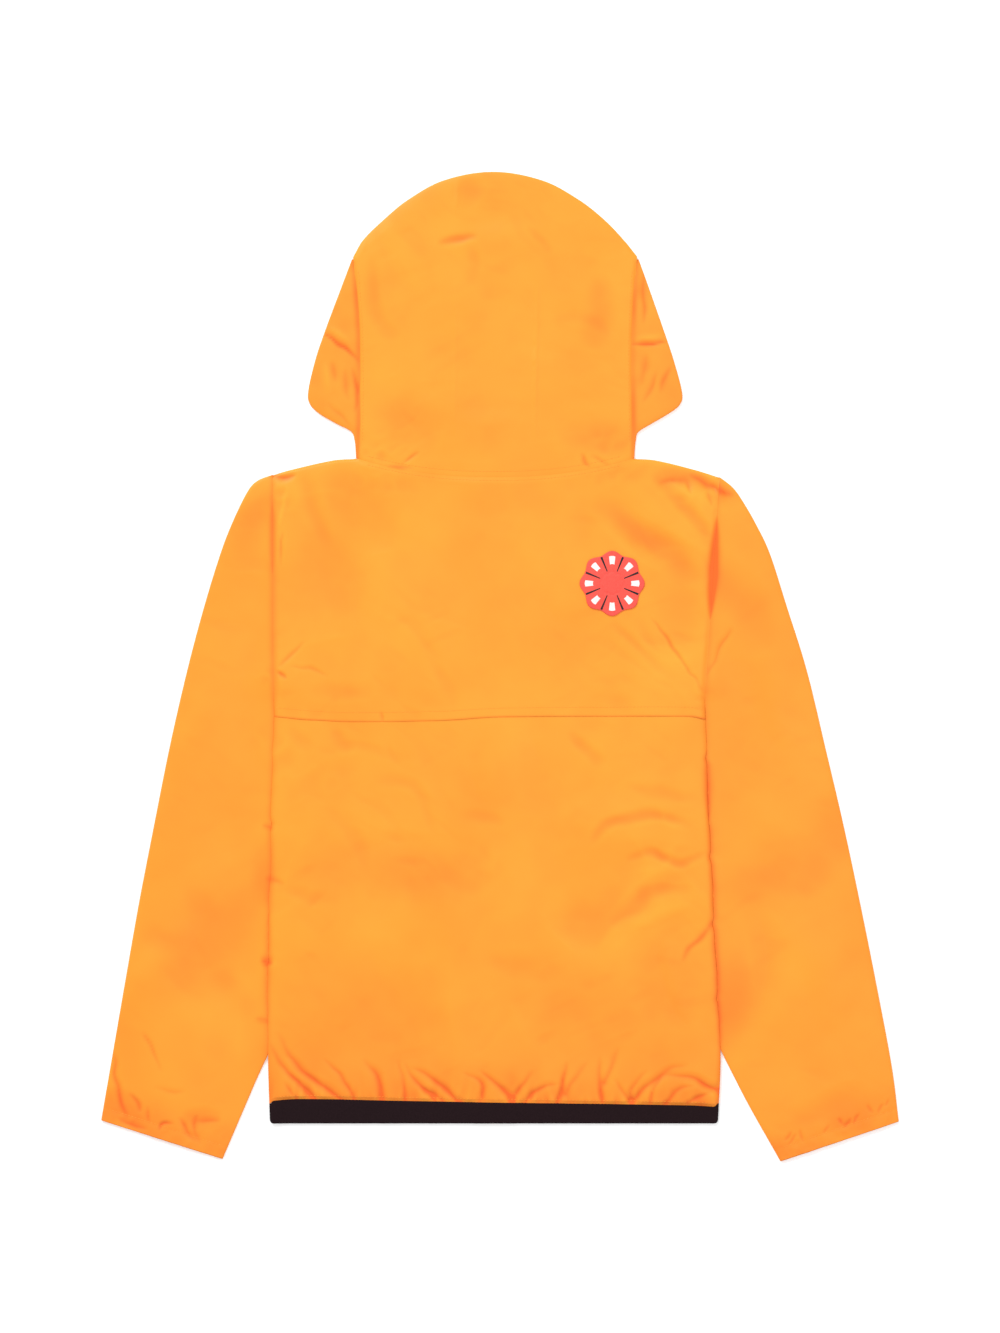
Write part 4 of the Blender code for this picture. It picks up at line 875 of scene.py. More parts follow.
def sleeve_layers(x, y, from_outer, from_inner, to_cuff, seed):
    """Underside of the lower layer and outer face of the upper layer of a sleeve."""
    outside = -inside_side(x, y)
    beneath = below_armpit(y) * step(0.046, 0.020, outside)
    loose = 1 - step(ARMPIT_Y + 0.10, ARMPIT_Y - 0.004, y) * step(0.095, 0.0, outside)
    floor = waves(x, y) * (1 - beneath)
    edges = rise(from_outer, SLEEVE_DOME) * rise(from_inner, SLEEVE_DOME)
    gap = CLEAR + LOFT * (0.45 + 0.55 * step(0.0, 0.060, to_cuff)) * edges
    share = from_outer / (from_outer + from_inner)
    turns = 2 * math.pi * (CUFF_GATHERS * share + 0.5 * np.sin(5 * share))
    fade = np.clip(1 - to_cuff / CUFF_GATHER_REACH, 0, 1) * (0.4 + 0.6 * np.clip(to_cuff / 0.008, 0, 1))
    gathers = 0.30 * CUFF_GATHER_DEPTH * (0.5 * np.cos(turns) + 0.15) * fade
    crinkles = CUFF_CRINKLE * pinched(share * CUFF_ROUND, to_cuff * 0.5, 0.0080, seed + 6)
    crinkles = crinkles + CUFF_FINE_CRINKLE * ripple(share * CUFF_ROUND, to_cuff, 0.0045, seed + 7)
    crinkles = crinkles * np.clip(1 - to_cuff / CUFF_CRINKLE_REACH, 0, 1)
    ease = rise(np.minimum(from_outer, from_inner), 0.010) * (1 - beneath)
    detail = (relief(x, y, seed, CALM_SLEEVE) + gathers + crinkles) * ease
    high = waves(x, y) * loose + 2 * WALL + gap * loose + detail
    return floor, np.maximum(floor + FOLDED_SLEEVE, high)


def crown_y(x):
    return spline(CROWN, x)[0]


def hood_level(x, y):
    """Outer face of the hood's back without its folds."""
    from_crown = (crown_y(x) - y) * CROWN_SLOPE
    left, right = spline(CREASES, y)
    from_crease = np.minimum(x - left, right - x)
    at_neck = step(0.040, 0.0, y - back_top_y(x))
    middle = mix(HOOD_EDGE_GAP, HOOD_LOFT, rise(from_crease, CREASE_DOME))
    middle = middle + (CLEAR + LOFT - middle) * at_neck * step(0.0, 0.030, from_crease)
    sag = HOOD_SAG * step(0.10, 0.02, np.hypot(x - CENTRE_X, y - HOOD_SAG_Y))
    gap = mix(CLEAR, middle, rise(from_crown, CROWN_DOME))
    least = HOOD_EDGE_GAP * step(0.030, 0.010, from_crease) * rise(from_crown, 0.010)
    gap = np.clip(np.maximum(least, gap - sag), CLEAR, LARGEST_GAP)
    return 2 * WALL + gap + waves(x, y) + 0.60 * zip_lift(x, y)


def side_level(x, y):
    """Outer face of a hood side where the hood's back comes down on it."""
    return waves(x, y) + zip_lift(x, y) + FOLDED_SLEEVE + SIDE_PUFF


def neck_level(x):
    """Height of the neck seam."""
    y = back_top_y(x)
    return 0.5 * (seam_level(x, y - CLEAR) + hood_level(x, y + CLEAR)) - NECK_DEPTH


def edge_shade(away, y, side):
    """Painted shade beside an armhole or a side seam, most where it gapes; the same amount also sinks the
    seam.
    """
    shade = SEAM_SHADE * bell(away, SEAM_SHADE_REACH)
    for at, middle, half, width, share in SEAM_GAPES:
        if at == side:
            open_here = np.clip(1 - ((y - middle) / half) ** 2, 0, 1)
            shade = shade + share * open_here**0.5 * bell(away, width * (open_here + 0.1))
    return shade


def gaped(z, dark, middle):
    """A seam that sinks where it gapes, but not below the middle of its layers."""
    return np.maximum(z - GAPE_DEPTH * dark, np.minimum(z, middle))


def edge_parts(x, y, side):
    """Distance out past the body's edge on one side, and the height that the sleeve meets it at."""
    top = ARMHOLES[0][0]
    at = np.minimum(y, top + 0.0015)
    edge = side_x(at)[(side + 1) // 2]
    out = (x - edge) * side
    away = np.hypot(np.maximum(out, 0), y - at)
    depth = mix(SEAM_DEPTH, MIDDLE + 0.0004, past_armhole(at))
    return out, away, seam_level(edge - side * 0.0002, np.minimum(at, top)) - depth


def even(first, last, gap):
    return np.linspace(first, last, max(2, round(abs(last - first) / gap) + 1))


def blur(z, cells, axis):
    """Mean over a run of cells along one axis of a grid."""
    padded = np.pad(z, [(cells + 1, cells) if a == axis else (0, 0) for a in (0, 1)], mode="edge")
    run = np.cumsum(padded, axis=axis)
    count, width = z.shape[axis], 2 * cells + 1
    ends = np.take(run, np.arange(width, width + count), axis=axis)
    return (ends - np.take(run, np.arange(count), axis=axis)) / width


def painted_shade_tone(x, y, folds, more=0.0):
    """Painted shade over a grid, with faint random blotches: 0 is palest, deeper colour in creases and broad
    sags, paler on ridges.
    """
    rows, columns = np.shape(folds)
    row_step = np.hypot(x[-1] - x[0], y[-1] - y[0]).mean() / (rows - 1)
    column_step = np.hypot(x[:, -1] - x[:, 0], y[:, -1] - y[:, 0]).mean() / (columns - 1)
    tone = BASE_TONE + 0.030 * ripple(x, y, 0.055, 7) + 0.022 * ripple(x, y, 0.021, 8) + more
    for reach, gain in TONES:
        down, over = max(1, round(reach / row_step)), max(1, round(reach / column_step))
        smooth = blur(blur(blur(blur(folds, down, 0), over, 1), down, 0), over, 1)
        below = smooth - folds
        tone = tone + gain * np.where(below > 0, below, 0.5 * below)
    return np.clip(tone, 0, 1)


def link(name, data):
    made = bpy.data.objects.new(name, data)
    bpy.context.scene.collection.objects.link(made)
    return made


def sheet_mesh(name, points, material, tone=None, closed=False):
    """A mesh over a grid of points; closed joins its last column to its first."""
    points = np.asarray(points, float)
    rows, columns = points.shape[:2]
    mesh = bpy.data.meshes.new(name)
    index = np.arange(rows * columns).reshape(rows, columns)
    if closed:
        index = np.concatenate([index, index[:, :1]], axis=1)
    corners = [index[:-1, :-1], index[:-1, 1:], index[1:, 1:], index[1:, :-1]]
    faces = np.stack(corners, axis=-1).reshape(-1, 4)
    mesh.from_pydata(points.reshape(-1, 3).tolist(), [], faces.tolist())
    mesh.shade_smooth()
    if tone is not None:
        # The tone carries painted shade, which the nylon mixes into its colour.
        layer = mesh.attributes.new("painted_shade_tone", "FLOAT", "POINT")
        layer.data.foreach_set("value", np.asarray(tone, np.float32).ravel())
    mesh.materials.append(material)
    return link(name, mesh)


def bmesh_object(name, bm, *materials, smooth=True):
    """An object from a bmesh that is finished with."""
    mesh = bpy.data.meshes.new(name)
    bm.to_mesh(mesh)
    bm.free()
    for material in materials:
        mesh.materials.append(material)
    if smooth:
        mesh.shade_smooth()
    return link(name, mesh)


def stack(x, y, z):
    return np.stack(np.broadcast_arrays(x, y, z), axis=-1)


def cloth(piece, node):
    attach(piece, "jacket")
    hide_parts(node)
    return piece


def nylon_panel(node, points, tone, turned=False, closed=False):
    """One panel of nylon in place of its solid; turned points its faces the other way."""
    if turned:
        points, tone = points[:, ::-1], tone[:, ::-1]
    return cloth(sheet_mesh(f"{node}_cloth", points, NYLON, tone, closed), node)


def node_material(name):
    made = bpy.data.materials.new(name)
    made.use_nodes = True
    nodes, links = made.node_tree.nodes, made.node_tree.links
    return made, nodes, links, nodes["Principled BSDF"]


def set_inputs(node, values):
    for name, value in values.items():
        node.inputs[name].default_value = value


def noise(nodes, links, scale, detail):
    place, made = nodes.new("ShaderNodeTexCoord"), nodes.new("ShaderNodeTexNoise")
    set_inputs(made, {"Scale": scale, "Detail": detail})
    links.new(place.outputs["Object"], made.inputs["Vector"])
    return made.outputs["Fac"]


def ramp(nodes, links, factor, *colours):
    """A blend between two colours over the middle of the noise's range."""
    made = nodes.new("ShaderNodeValToRGB")
    for element, colour, place in zip(made.color_ramp.elements, colours, (0.3, 0.7)):
        element.color = (*colour, 1)
        element.position = place
    links.new(factor, made.inputs["Fac"])
    return made.outputs["Color"]


def bump(nodes, links, height, strength, distance, under=None):
    made = nodes.new("ShaderNodeBump")
    set_inputs(made, {"Strength": strength, "Distance": distance})
    links.new(height, made.inputs["Height"])
    if under:
        links.new(under, made.inputs["Normal"])
    return made.outputs["Normal"]


def nylon_material():
    """Thin nylon: faint blotches, a fine grain, and painted shade, a deeper colour in the troughs, at the
    seams and on the parts that lie lower.
    """
    made, nodes, links, shader = node_material("nylon")
    darker, paler, shade_colour = (0.890, 0.318, 0.0205), (0.935, 0.352, 0.0270), (0.80, 0.125, 0.008)
    tone = ramp(nodes, links, noise(nodes, links, 9.0, 3.0), darker, paler)
    # Painted shade: the deeper orange is mixed in by the attribute that each panel carries.
    shade_attribute, blend = nodes.new("ShaderNodeAttribute"), nodes.new("ShaderNodeMix")
    shade_attribute.attribute_name = "painted_shade_tone"
    blend.data_type = "RGBA"
    blend.inputs["B"].default_value = (*shade_colour, 1)
    links.new(shade_attribute.outputs["Fac"], blend.inputs["Factor"])
    links.new(tone, blend.inputs["A"])
    links.new(blend.outputs["Result"], shader.inputs["Base Color"])
    crinkle = bump(nodes, links, noise(nodes, links, 85.0, 4.0), 0.14, 0.0006)
    grain = bump(nodes, links, noise(nodes, links, 1500.0, 2.0), 0.10, 0.0001, crinkle)
    links.new(grain, shader.inputs["Normal"])
    set_inputs(shader, {"Roughness": 0.50, "Specular IOR Level": 0.28})
    set_inputs(shader, {"Sheen Weight": 0.06, "Sheen Tint": (1.0, 0.62, 0.30, 1)})
    return made


def plain_material(name, colour, roughness, scale, strength, metallic, specular):
    """A solid colour with a little uneven tone and a fine grain."""
    made, nodes, links, shader = node_material(name)
    grain = noise(nodes, links, scale, 3.0)
    dark, light = [c * 0.85 for c in colour], [min(1.0, c * 1.12) for c in colour]
    links.new(ramp(nodes, links, grain, dark, light), shader.inputs["Base Color"])
    links.new(bump(nodes, links, grain, strength, 0.0003), shader.inputs["Normal"])
    set_inputs(shader, {"Roughness": roughness, "Metallic": metallic, "Specular IOR Level": specular})
    return made


NYLON = nylon_material()
PLAIN_LOOKS = [
    # name, colour, roughness, fineness of the grain, its strength, metallic, specular
    ("hem_knit", (0.0150, 0.0072, 0.0088), 0.95, 700.0, 0.5, 0.0, 0.08),
    ("thread", (0.92, 0.36, 0.04), 0.6, 2000.0, 0.3, 0.0, 0.3),
    ("zip_tape", (0.88, 0.30, 0.03), 0.7, 900.0, 0.3, 0.0, 0.3),
    ("zip_metal", (0.05, 0.05, 0.055), 0.38, 60.0, 0.05, 0.8, 0.3),
    ("patch_red", (0.88, 0.085, 0.062), 0.6, 900.0, 0.5, 0.0, 0.3),
    ("patch_black", (0.012, 0.011, 0.012), 0.6, 900.0, 0.5, 0.0, 0.3),
    ("patch_white", (0.84, 0.82, 0.80), 0.6, 900.0, 0.5, 0.0, 0.3),
]
KNIT, THREAD, TAPE, METAL, RED, BLACK, WHITE = [plain_material(*look) for look in PLAIN_LOOKS]


def edge_columns(left, right):
    """Columns from left to right: a few on the rounded edges, the rest even."""
    near, inset = EDGE_STEPS[:-1], EDGE_STEPS[-1]
    inner = left + inset + (right - left - 2 * inset) * np.linspace(0, 1, BACK_COLUMNS)
    return np.concatenate([left + near, inner, right - near[::-1]], axis=1)


def make_lower_back():
    first, coarse_end = FLAP_Y + FLAP_LAP, HEM_TOP_Y + 0.075
    coarse = even(first, coarse_end, BACK_ROW_STEP)
    fine = even(coarse_end - GATHER_ROW_STEP, HEM_TOP_Y, GATHER_ROW_STEP)
    ys = np.concatenate([coarse, fine])[:, None]
    left, right = side_x(ys)
    x = edge_columns(left, right)
    lowest = HEM_TOP_Y + band_rise(x) - 0.0006
    y = mix(first, lowest, (first - ys) / (first - HEM_TOP_Y))
    z = meet(back_top(x, y), y - lowest, band_top(x) + 0.0002, 0.0022)
    middle = front_z(x, np.maximum(y, HEM_TOP_Y)) + MIDDLE
    z = roll(z, middle, np.minimum(x - left, right - x), reach=SOFT_EDGE)
    # Painted shade beside the side seams, and a broad patchy painted shade over the hem band.
    shade = edge_shade(x - left, y, -1) + edge_shade(right - x, y, 1)
    patchy = 0.19 + 0.12 * ripple(x, y, 0.024, 61)
    band_shade = 0.15 * bell(y - lowest, 0.095) + patchy * bell(y - lowest, 0.036)
    tone = painted_shade_tone(x, y, back_folds(x, y), more=shade + band_shade)
    made = nylon_panel("back_lower", stack(x, y, z), tone)
    return made


TURNED_EDGE = [
    # how far the cloth is past the yoke's edge, and how far down
    (0.0003, 0.0001),
    (0.0004, 0.0003),
    (0.0003, 0.0005),
    (0.0, 0.0006),
    (-0.003, 0.0006),
    (-0.006, 0.0006),
]


def sew_armhole(z, x, y, away, side, from_neck, middle):
    """Brings the yoke down to its armhole seam, and turns its edge down along the side seam."""
    dark = edge_shade(away, y, side)
    valley = SEAM_DEPTH * bell(away, SEAM_REACH) + GAPE_DEPTH * dark
    sewn = np.maximum(z - valley, np.minimum(z, middle))
    seam = gaped(seam_level(x, y) - SEAM_DEPTH, dark, middle)
    sewn = mix(sewn, meet(sewn, away, seam, SEWN_REACH), step(0.0, 0.006, from_neck))
    return mix(sewn, roll(z, middle, away, reach=SOFT_EDGE), past_armhole(y)), dark


def make_yoke():
    shares = np.linspace(0, 1, 156)[:, None]
    top, flap_left, flap_right = ARMHOLES[0][0], FLAP_EDGE[0][1], FLAP_EDGE[-1][1]
    left = side_x(mix(top, flap_left, shares))[0]
    right = side_x(mix(top, flap_right, shares))[1]
    x = edge_columns(left, right)
    on_shoulder = beyond_neck(x)
    start = back_top_y(x) + CLEAR * (1 - 2 * on_shoulder)
    end = spline(FLAP_EDGE, x)[0] + FLAP_EDGE_WANDER * ripple(x, 0 * x, 0.022, 71)
    y = mix(start, end, shares)
    from_neck, above_edge = start - y, y - end
    z = back_top(x, y) + flap_lift(y) * mix(step(0.0, 0.010, inside_side(x, y)), 1.0, past_armhole(y))
    open_end = step(0.185, 0.202, x) + 0.3 * step(0.010, 0.040, x) * step(0.120, 0.090, x)
    edge_rise = FLAP_OPEN_RISE * open_end + FLAP_EDGE_WAVE * ripple(x, 0 * x, 0.028, 72)
    z = z + step(0.016, 0.0, above_edge) * edge_rise
    below_seam = from_neck * (1 - on_shoulder)
    z = z + 0.00015 * step(0.0, 0.0020, below_seam) * step(0.0100, 0.0060, below_seam)
    neck = meet(z, from_neck, neck_level(x), SEAM_REACH)
    middle = front_z(x, np.minimum(y, shoulder_y(x))) + MIDDLE
    z = mix(neck, roll(z, middle, from_neck, reach=0.0025), on_shoulder)
    # Painted shade beside both armholes; below, a painted shadow line along the flap's edge, deeper towards
    # its ends.
    shade = 0.0
    for side, away in ((-1, x - left), (1, right - x)):
        z, dark = sew_armhole(z, x, y, away, side, from_neck, middle)
        shade = shade + dark
    at_ends = step(-0.100, -0.190, x) + step(0.110, 0.190, x)
    flap_shadow_line = (0.22 + 0.16 * ripple(x, 0 * x, 0.040, 73) + 0.15 * at_ends) * bell(above_edge, 0.0012)
    tone = painted_shade_tone(x, y, back_folds(x, y), more=shade + flap_shadow_line)
    rows = [stack(x, y, z)]
    for out, drop in TURNED_EDGE:
        rows.append(stack(x[-1], y[-1] - out, z[-1] - drop)[None])
    # The turned-under edge gets an even painted shade.
    tone = np.concatenate([tone, np.full((len(TURNED_EDGE), tone.shape[1]), 0.45)])
    made = nylon_panel("back_yoke", np.concatenate(rows), tone)
    return made


def make_front(side):
    zip_edge = CENTRE_X + side * ZIP_OPENING
    shares = np.concatenate([np.linspace(0, 0.90, 130), np.linspace(0.9, 1.0, 34)[1:]])[:, None]
    outer = side_x(mix(ARMHOLES[0][0], HEM_TOP_Y, shares))[(side + 1) // 2]
    inner = mix(outer - side * 0.004, zip_edge, np.linspace(0, 1, 70))
    x = np.concatenate([outer - side * EDGE_STEPS, inner], axis=1)
    start = front_top_y(x) - CLEAR
    y = mix(start, HEM_TOP_Y, shares)
    from_side, from_top = np.abs(x - outer), start - y
    from_edge = np.minimum(from_side, np.minimum(from_top, y - HEM_TOP_Y))
    from_edge = np.minimum(from_edge, np.abs(x - zip_edge) - TAPE_REACH)
    folds = under_folds(x, y, FRONT_SEED) * step(0.0, CREASE_FADE, from_edge)
    z = front_z(x, y) + folds
    middle = z + MIDDLE
    at_armhole = step(ARMPIT_Y - 0.001, ARMPIT_Y + 0.003, y)
    z = mix(z, meet(z, from_side, waves(x, y), 0.004), at_armhole)
    z = roll(z, middle, from_side, below_armpit(y) * (1 - at_armhole))
    z = roll(z, middle, from_top, beyond_neck(x))
    # Painted shade in the underside's creases, and a little more over the whole front.
    tone = painted_shade_tone(x, y, -folds, more=0.06)
    made = nylon_panel(f"front_{NAMES[side]}", stack(x, y, z), tone, turned=side < 0)


def sleeve_grid(side, count):
    """Points over a sleeve, closer on its two folds, with how far each is from both folds and the cuff."""
    table = SLEEVES[side]
    stations = np.concatenate([np.linspace(0, 0.90, 300), np.linspace(0.90, 1.0, 70)[1:]])[:, None]
    ox, oy, ix, iy = row_at(table, stations)
    ix = ix - side * 0.0009 * bell(iy - ARMPIT_Y + 0.008, 0.007)
    width = np.hypot(ix - ox, iy - oy)
    first = np.array([0.0, 0.07, 0.3, 1.0]) * (SLEEVE_EDGE / width)
    even_part = first[:, -1:] + (1 - 2 * first[:, -1:]) * np.linspace(0, 1, count)[1:-1]
    t = np.concatenate([first, even_part, 1 - first[:, ::-1]], axis=1)
    x, y = mix(ox, ix, t), mix(oy, iy, t)
    cuff_outer, cuff_inner = np.array(table[-1][:2]), np.array(table[-1][2:])
    cuff_way = (cuff_inner - cuff_outer) / np.linalg.norm(cuff_inner - cuff_outer)
    to_cuff = np.abs((x - cuff_outer[0]) * cuff_way[1] - (y - cuff_outer[1]) * cuff_way[0])
    return x, y, t * width, (1 - t) * width, to_cuff


def lower_layer(side):
    """Points, middle heights and tones of a sleeve's lower layer."""
    x, y, from_outer, from_inner, to_cuff = sleeve_grid(side, 52)
    low, _ = sleeve_layers(x, y, from_outer, from_inner, to_cuff, SLEEVE_SEEDS[side])
    middle, from_fold = low + MIDDLE, np.minimum(from_outer, from_inner)
    folds = under_folds(x, y, UNDER_SLEEVE_SEED)
    for from_edge in (np.minimum(from_fold, to_cuff), -inside_side(x, y)):
        folds = folds * step(0.0, CREASE_FADE, from_edge)
    z = roll(low + folds, middle, from_fold, reach=SLEEVE_EDGE)
    # Painted shade in the underside's creases and over the whole sleeve.
    return stack(x, y, z), middle, painted_shade_tone(x, y, -folds, more=SLEEVE_SHADE)


def upper_layer(side):
    """The same of a sleeve's upper layer, which is brought to the body's height along the armhole."""
    seed = SLEEVE_SEEDS[side]
    x, y, from_outer, from_inner, to_cuff = sleeve_grid(side, 88)
    low, high = sleeve_layers(x, y, from_outer, from_inner, to_cuff, seed)
    middle = low + MIDDLE
    z = roll(high, middle, np.minimum(from_outer, from_inner), reach=SLEEVE_EDGE)
    out, away, level = edge_parts(x, y, side)
    dark = edge_shade(away, y, side)
    outside = step(-0.0030, 0.0, out) * step(HEM_TOP_Y + 0.030, HEM_TOP_Y + 0.060, y)
    reach = SLEEVE_BULGE_REACH + ARMPIT_BULGE_REACH * bell(y - ARMPIT_Y, ARMPIT_BULGE_HALF)
    z = mix(z, level, bell(away, reach) * outside)
    z = gaped(z, dark * step(ARMPIT_Y, ARMPIT_Y + 0.03, y), middle)
    z = z - CUFF_HEM_GROOVE * bell(to_cuff - CUFF_HEM, CUFF_HEM_GROOVE_REACH)
    # Painted shade beside the armhole and side seam, a patchy painted shade near the cuff, and painted shade
    # over the whole sleeve.
    patchy = 0.22 + 0.14 * ripple(x, y, 0.020, seed + 8)
    more = dark * (out > -0.0005) + patchy * step(0.046, 0.012, to_cuff) + SLEEVE_SHADE
    return stack(x, y, z), middle, painted_shade_tone(x, y, relief(x, y, seed, CALM_SLEEVE), more=more)


def make_sleeve(side):
    """A tube that lies flat, open at the armhole, and turned in at the cuff."""
    upper, lower = upper_layer(side), lower_layer(side)
    ring, middle, tone = (np.concatenate([a, b[:, -2:0:-1]], axis=1) for a, b in zip(upper, lower))
    tuck = ring[0].copy()
    tuck[:, 0] -= side * 0.0008
    tuck[:, 2] += np.where(np.arange(len(tuck)) < upper[0].shape[1], -0.0004, 0.0004)
    inside = []
    for back, share in ((0, 0.82), (4, 0.62), (10, 0.55), (16, 0.5)):
        row = ring[-1 - back].copy()
        row[:, 2] = mix(middle[-1 - back], row[:, 2], share)
        inside.append(row[None])
    points = np.concatenate([tuck[None], ring] + inside)
    tone = np.concatenate([tone[:1], tone, np.repeat(tone[-1:], len(inside), axis=0)])
    made = nylon_panel(f"sleeve_{NAMES[side]}", points, tone, turned=side < 0, closed=True)
    return made


def hood_grid():
    """Points over the hood's back: between its creases up to the brim, then full width to the crown."""
    u = np.concatenate([[0.0, 0.0008, 0.003], np.linspace(0.006, 0.994, 152), [0.997, 0.9992, 1.0]])
    x_top = mix(CROWN[0][0], CROWN[-1][0], u)
    edge_y = crown_y(x_top)

    def x_at(y):
        return np.where(y < BRIM_Y, mix(*spline(CREASES, y), u), x_top)

    start = back_top_y(x_at(np.full(u.shape, NECK_Y))) - CLEAR
    ys = [mix(start, BRIM_Y, s) for s in np.linspace(0, 1, 116)]
    for s in 1 - (1 - np.linspace(0, 1, 46)[1:]) ** 1.6:
        ys.append(np.maximum(mix(BRIM_Y, edge_y - 0.0009, s), BRIM_Y + 0.0001 * s))
    return np.array([x_at(row) for row in ys]), np.array(ys), start


def under_crown(x):
    """Points that turn the hood's back down at the crown and run on beneath it to the brim."""
    edge_y = crown_y(x)
    middle = waves(x, edge_y) + MIDDLE
    rows = []
    for inset, up in ((0.0003, 0.0008), (0.0, 0.0), (0.0003, -0.0008)):
        rows.append(stack(x, edge_y - inset, middle + up)[None])
    for s in np.linspace(0, 1, 16):
        y = mix(edge_y - 0.0010, BRIM_Y, s)
        rows.append(stack(x, y, waves(x, y))[None])
    return np.concatenate(rows)


def make_hood_back():
    x, y, start = hood_grid()
    left, right = spline(CREASES, y)
    from_crease = np.minimum(x - left, right - x)
    detail = relief(x, y, HOOD_SEED) + total(HOOD_LINES, x, y)
    detail = detail * step(0.0, 0.014, crown_y(x) - y) * rise(from_crease, 0.006)
    z = np.maximum(hood_level(x, y) + detail, waves(x, y) + FOLDED_SLEEVE)
    z = meet(z, y - start, neck_level(x), SEAM_REACH) - 0.0002 * bell(y - start, 0.0005)
    at_side = step(BRIM_Y + 0.002, BRIM_Y - 0.006, y)
    z = mix(z, side_level(x, y) + 0.0002, bell(np.clip(from_crease, 0, 1), 0.0022) * at_side)
    # Painted shade along the creases where the hood's back meets its sides, deeper towards the neck.
    seam = (0.14 + 0.30 * step(0.280, 0.225, y)) * bell(from_crease, 0.0024) * at_side
    under = under_crown(x[-1])
    points = np.concatenate([stack(x, y, z), under])
    tone = [painted_shade_tone(x, y, relief(x, y, BACK_SEED), more=seam), np.full(under.shape[:2], BASE_TONE)]
    made = nylon_panel("hood_back", points, np.concatenate(tone))
    return made


def under_hood_side(side, ox, oy, ix, iy, to_neck):
    """The layer beneath a hood side, from its outer fold to the face opening, where it is turned in."""
    limit = CENTRE_X + side * (ZIP_OPENING + CLEAR)
    ix = np.minimum(ix, limit) if side < 0 else np.maximum(ix, limit)
    t = np.concatenate([[0.0, 0.0012, 0.004], np.linspace(0.01, 1, 50)])
    x, y = mix(ox, ix, t), mix(oy, iy, t)
    y = y + (front_top_y(x) + CLEAR - y) * to_neck**2 * step(0.0, 0.2, t)
    low = waves(x, y) + zip_lift(x, y)
    z = roll(low, low + MIDDLE, t * np.abs(ix - ox), reach=HOOD_EDGE)
    points = stack(x, y, z)[:, 1:]
    hem = [points[:, -1:] + np.array([0, 0, 0.0004]), points[:, -4:-3] + np.array([0, 0, 0.0007])]
    return np.concatenate([points] + hem, axis=1)


def make_hood_side(side):
    which = (side + 1) // 2
    s = np.linspace(0, 1, 150)[:, None]
    ox, oy, ix, iy, to_neck = row_at(HOOD_SIDES[side], s)
    crease_x = spline(CREASES, np.minimum(oy, CREASES[0][0]))[which]
    start_x = crease_x - side * CREASE_TUCK * (0.45 + 0.55 * step(NECK_Y, NECK_Y + 0.02, oy))
    t = 1 - (1 - np.linspace(0, 1, 44)) ** 1.15
    x = mix(start_x, ox, t)
    y = np.broadcast_to(oy, x.shape)
    from_edge = (1 - t) * np.abs(ox - start_x)
    seen = 1 - step(-0.002, 0.008, (x - crease_x) * -side)
    swell = HOOD_SIDE_SWELL * rise(from_edge, 0.018) * seen * step(0.0, 0.10, s)
    detail = total(SIDE_CREASES, x, y, sharp=True) + 0.4 * drape(x, y, HOOD_SIDE_SEED + which)
    detail = detail + 0.0002 * ripple(x, y, 0.012, 21 + which)
    puff = SIDE_PUFF * step(0.0, 0.12, s)
    gap = np.maximum(CLEAR, CLEAR + puff + swell + detail * rise(from_edge, 0.008) * seen)
    floor = waves(x, y) + zip_lift(x, y)
    z = roll(floor + 2 * WALL + gap, floor + MIDDLE, from_edge, reach=HOOD_EDGE)
    under = under_hood_side(side, ox, oy, ix, iy, to_neck)
    points = np.concatenate([stack(x, y, z), under], axis=1)
    # Painted shade along the crease under the hood's back edge, over the whole side, and on the layer
    # beneath.
    seam = (0.30 + 0.22 * ripple(y, 0 * y, 0.034, 25 + which)) * bell(x - crease_x, 0.0032)
    tone = np.full(points.shape[:2], BASE_TONE + 0.06)
    tone[:, : x.shape[1]] = painted_shade_tone(x, y, detail, more=seam + 0.13)
    made = nylon_panel(f"hood_side_{NAMES[side]}", points, tone, turned=side > 0)


def band_faces(x):
    """Undersides of the band's lower and upper layers."""
    y = np.full(np.shape(x), HEM_TOP_Y)
    under = front_z(x, y)
    over = body_floor(x, y) + WALL + body_gap(x, y)
    return under, np.maximum(under + BAND_WALL + np.maximum(CLEAR, zip_ridge(x)), over)


def band_top(x):
    """Height of the band's upper face just below its top edge."""
    return band_faces(x)[1] + BAND_WALL - 0.0006


def make_band():
    """The knit band: a flat strip, one layer behind and one in front, with ribs that run up and down."""
    downs = (BAND_DROPS / BAND_DROPS[-1])[:, None]
    top = HEM_TOP_Y - CLEAR
    plain = mix(top, HEM_Y, downs)
    left, right = side_x(plain)
    corner = 0.0030 * (1 - rise(plain - HEM_Y, 0.004))
    left, right = left + corner, right - corner
    x = mix(left, right, np.linspace(0, 1, BAND_COLUMNS))
    inside = np.minimum(x - left, right - x)
    y = plain + band_rise(x) * step(0.0, 0.006, inside) * (1 - downs)
    under, over = band_faces(x)
    round_off = 1 - rise(np.minimum(top - plain, plain - HEM_Y), 0.0014)
    middle = under + BAND_WALL + CLEAR / 2
    ribs = RIB_HEIGHT * np.cos(2 * math.pi * x / RIB_PITCH) + 0.0002 * ripple(x, y, 0.012, 43)
    upper = stack(x, y, roll(over + BAND_WALL + ribs - 0.0007 * round_off, middle, inside, reach=0.0013))
    lower = stack(x, plain, roll(under + 0.0006 * round_off, middle, inside, reach=0.0013))
    columns = lower[0, :, 0]
    left_part = lower[:, columns < CENTRE_X - ZIP_OPENING][:, ::-1]
    right_part = lower[:, columns > CENTRE_X + ZIP_OPENING][:, ::-1]
    points = np.concatenate([left_part[:, :-1], upper, right_part[:, 1:]], axis=1)
    made = cloth(sheet_mesh("hem_band_knit", points, KNIT), "hem_band")


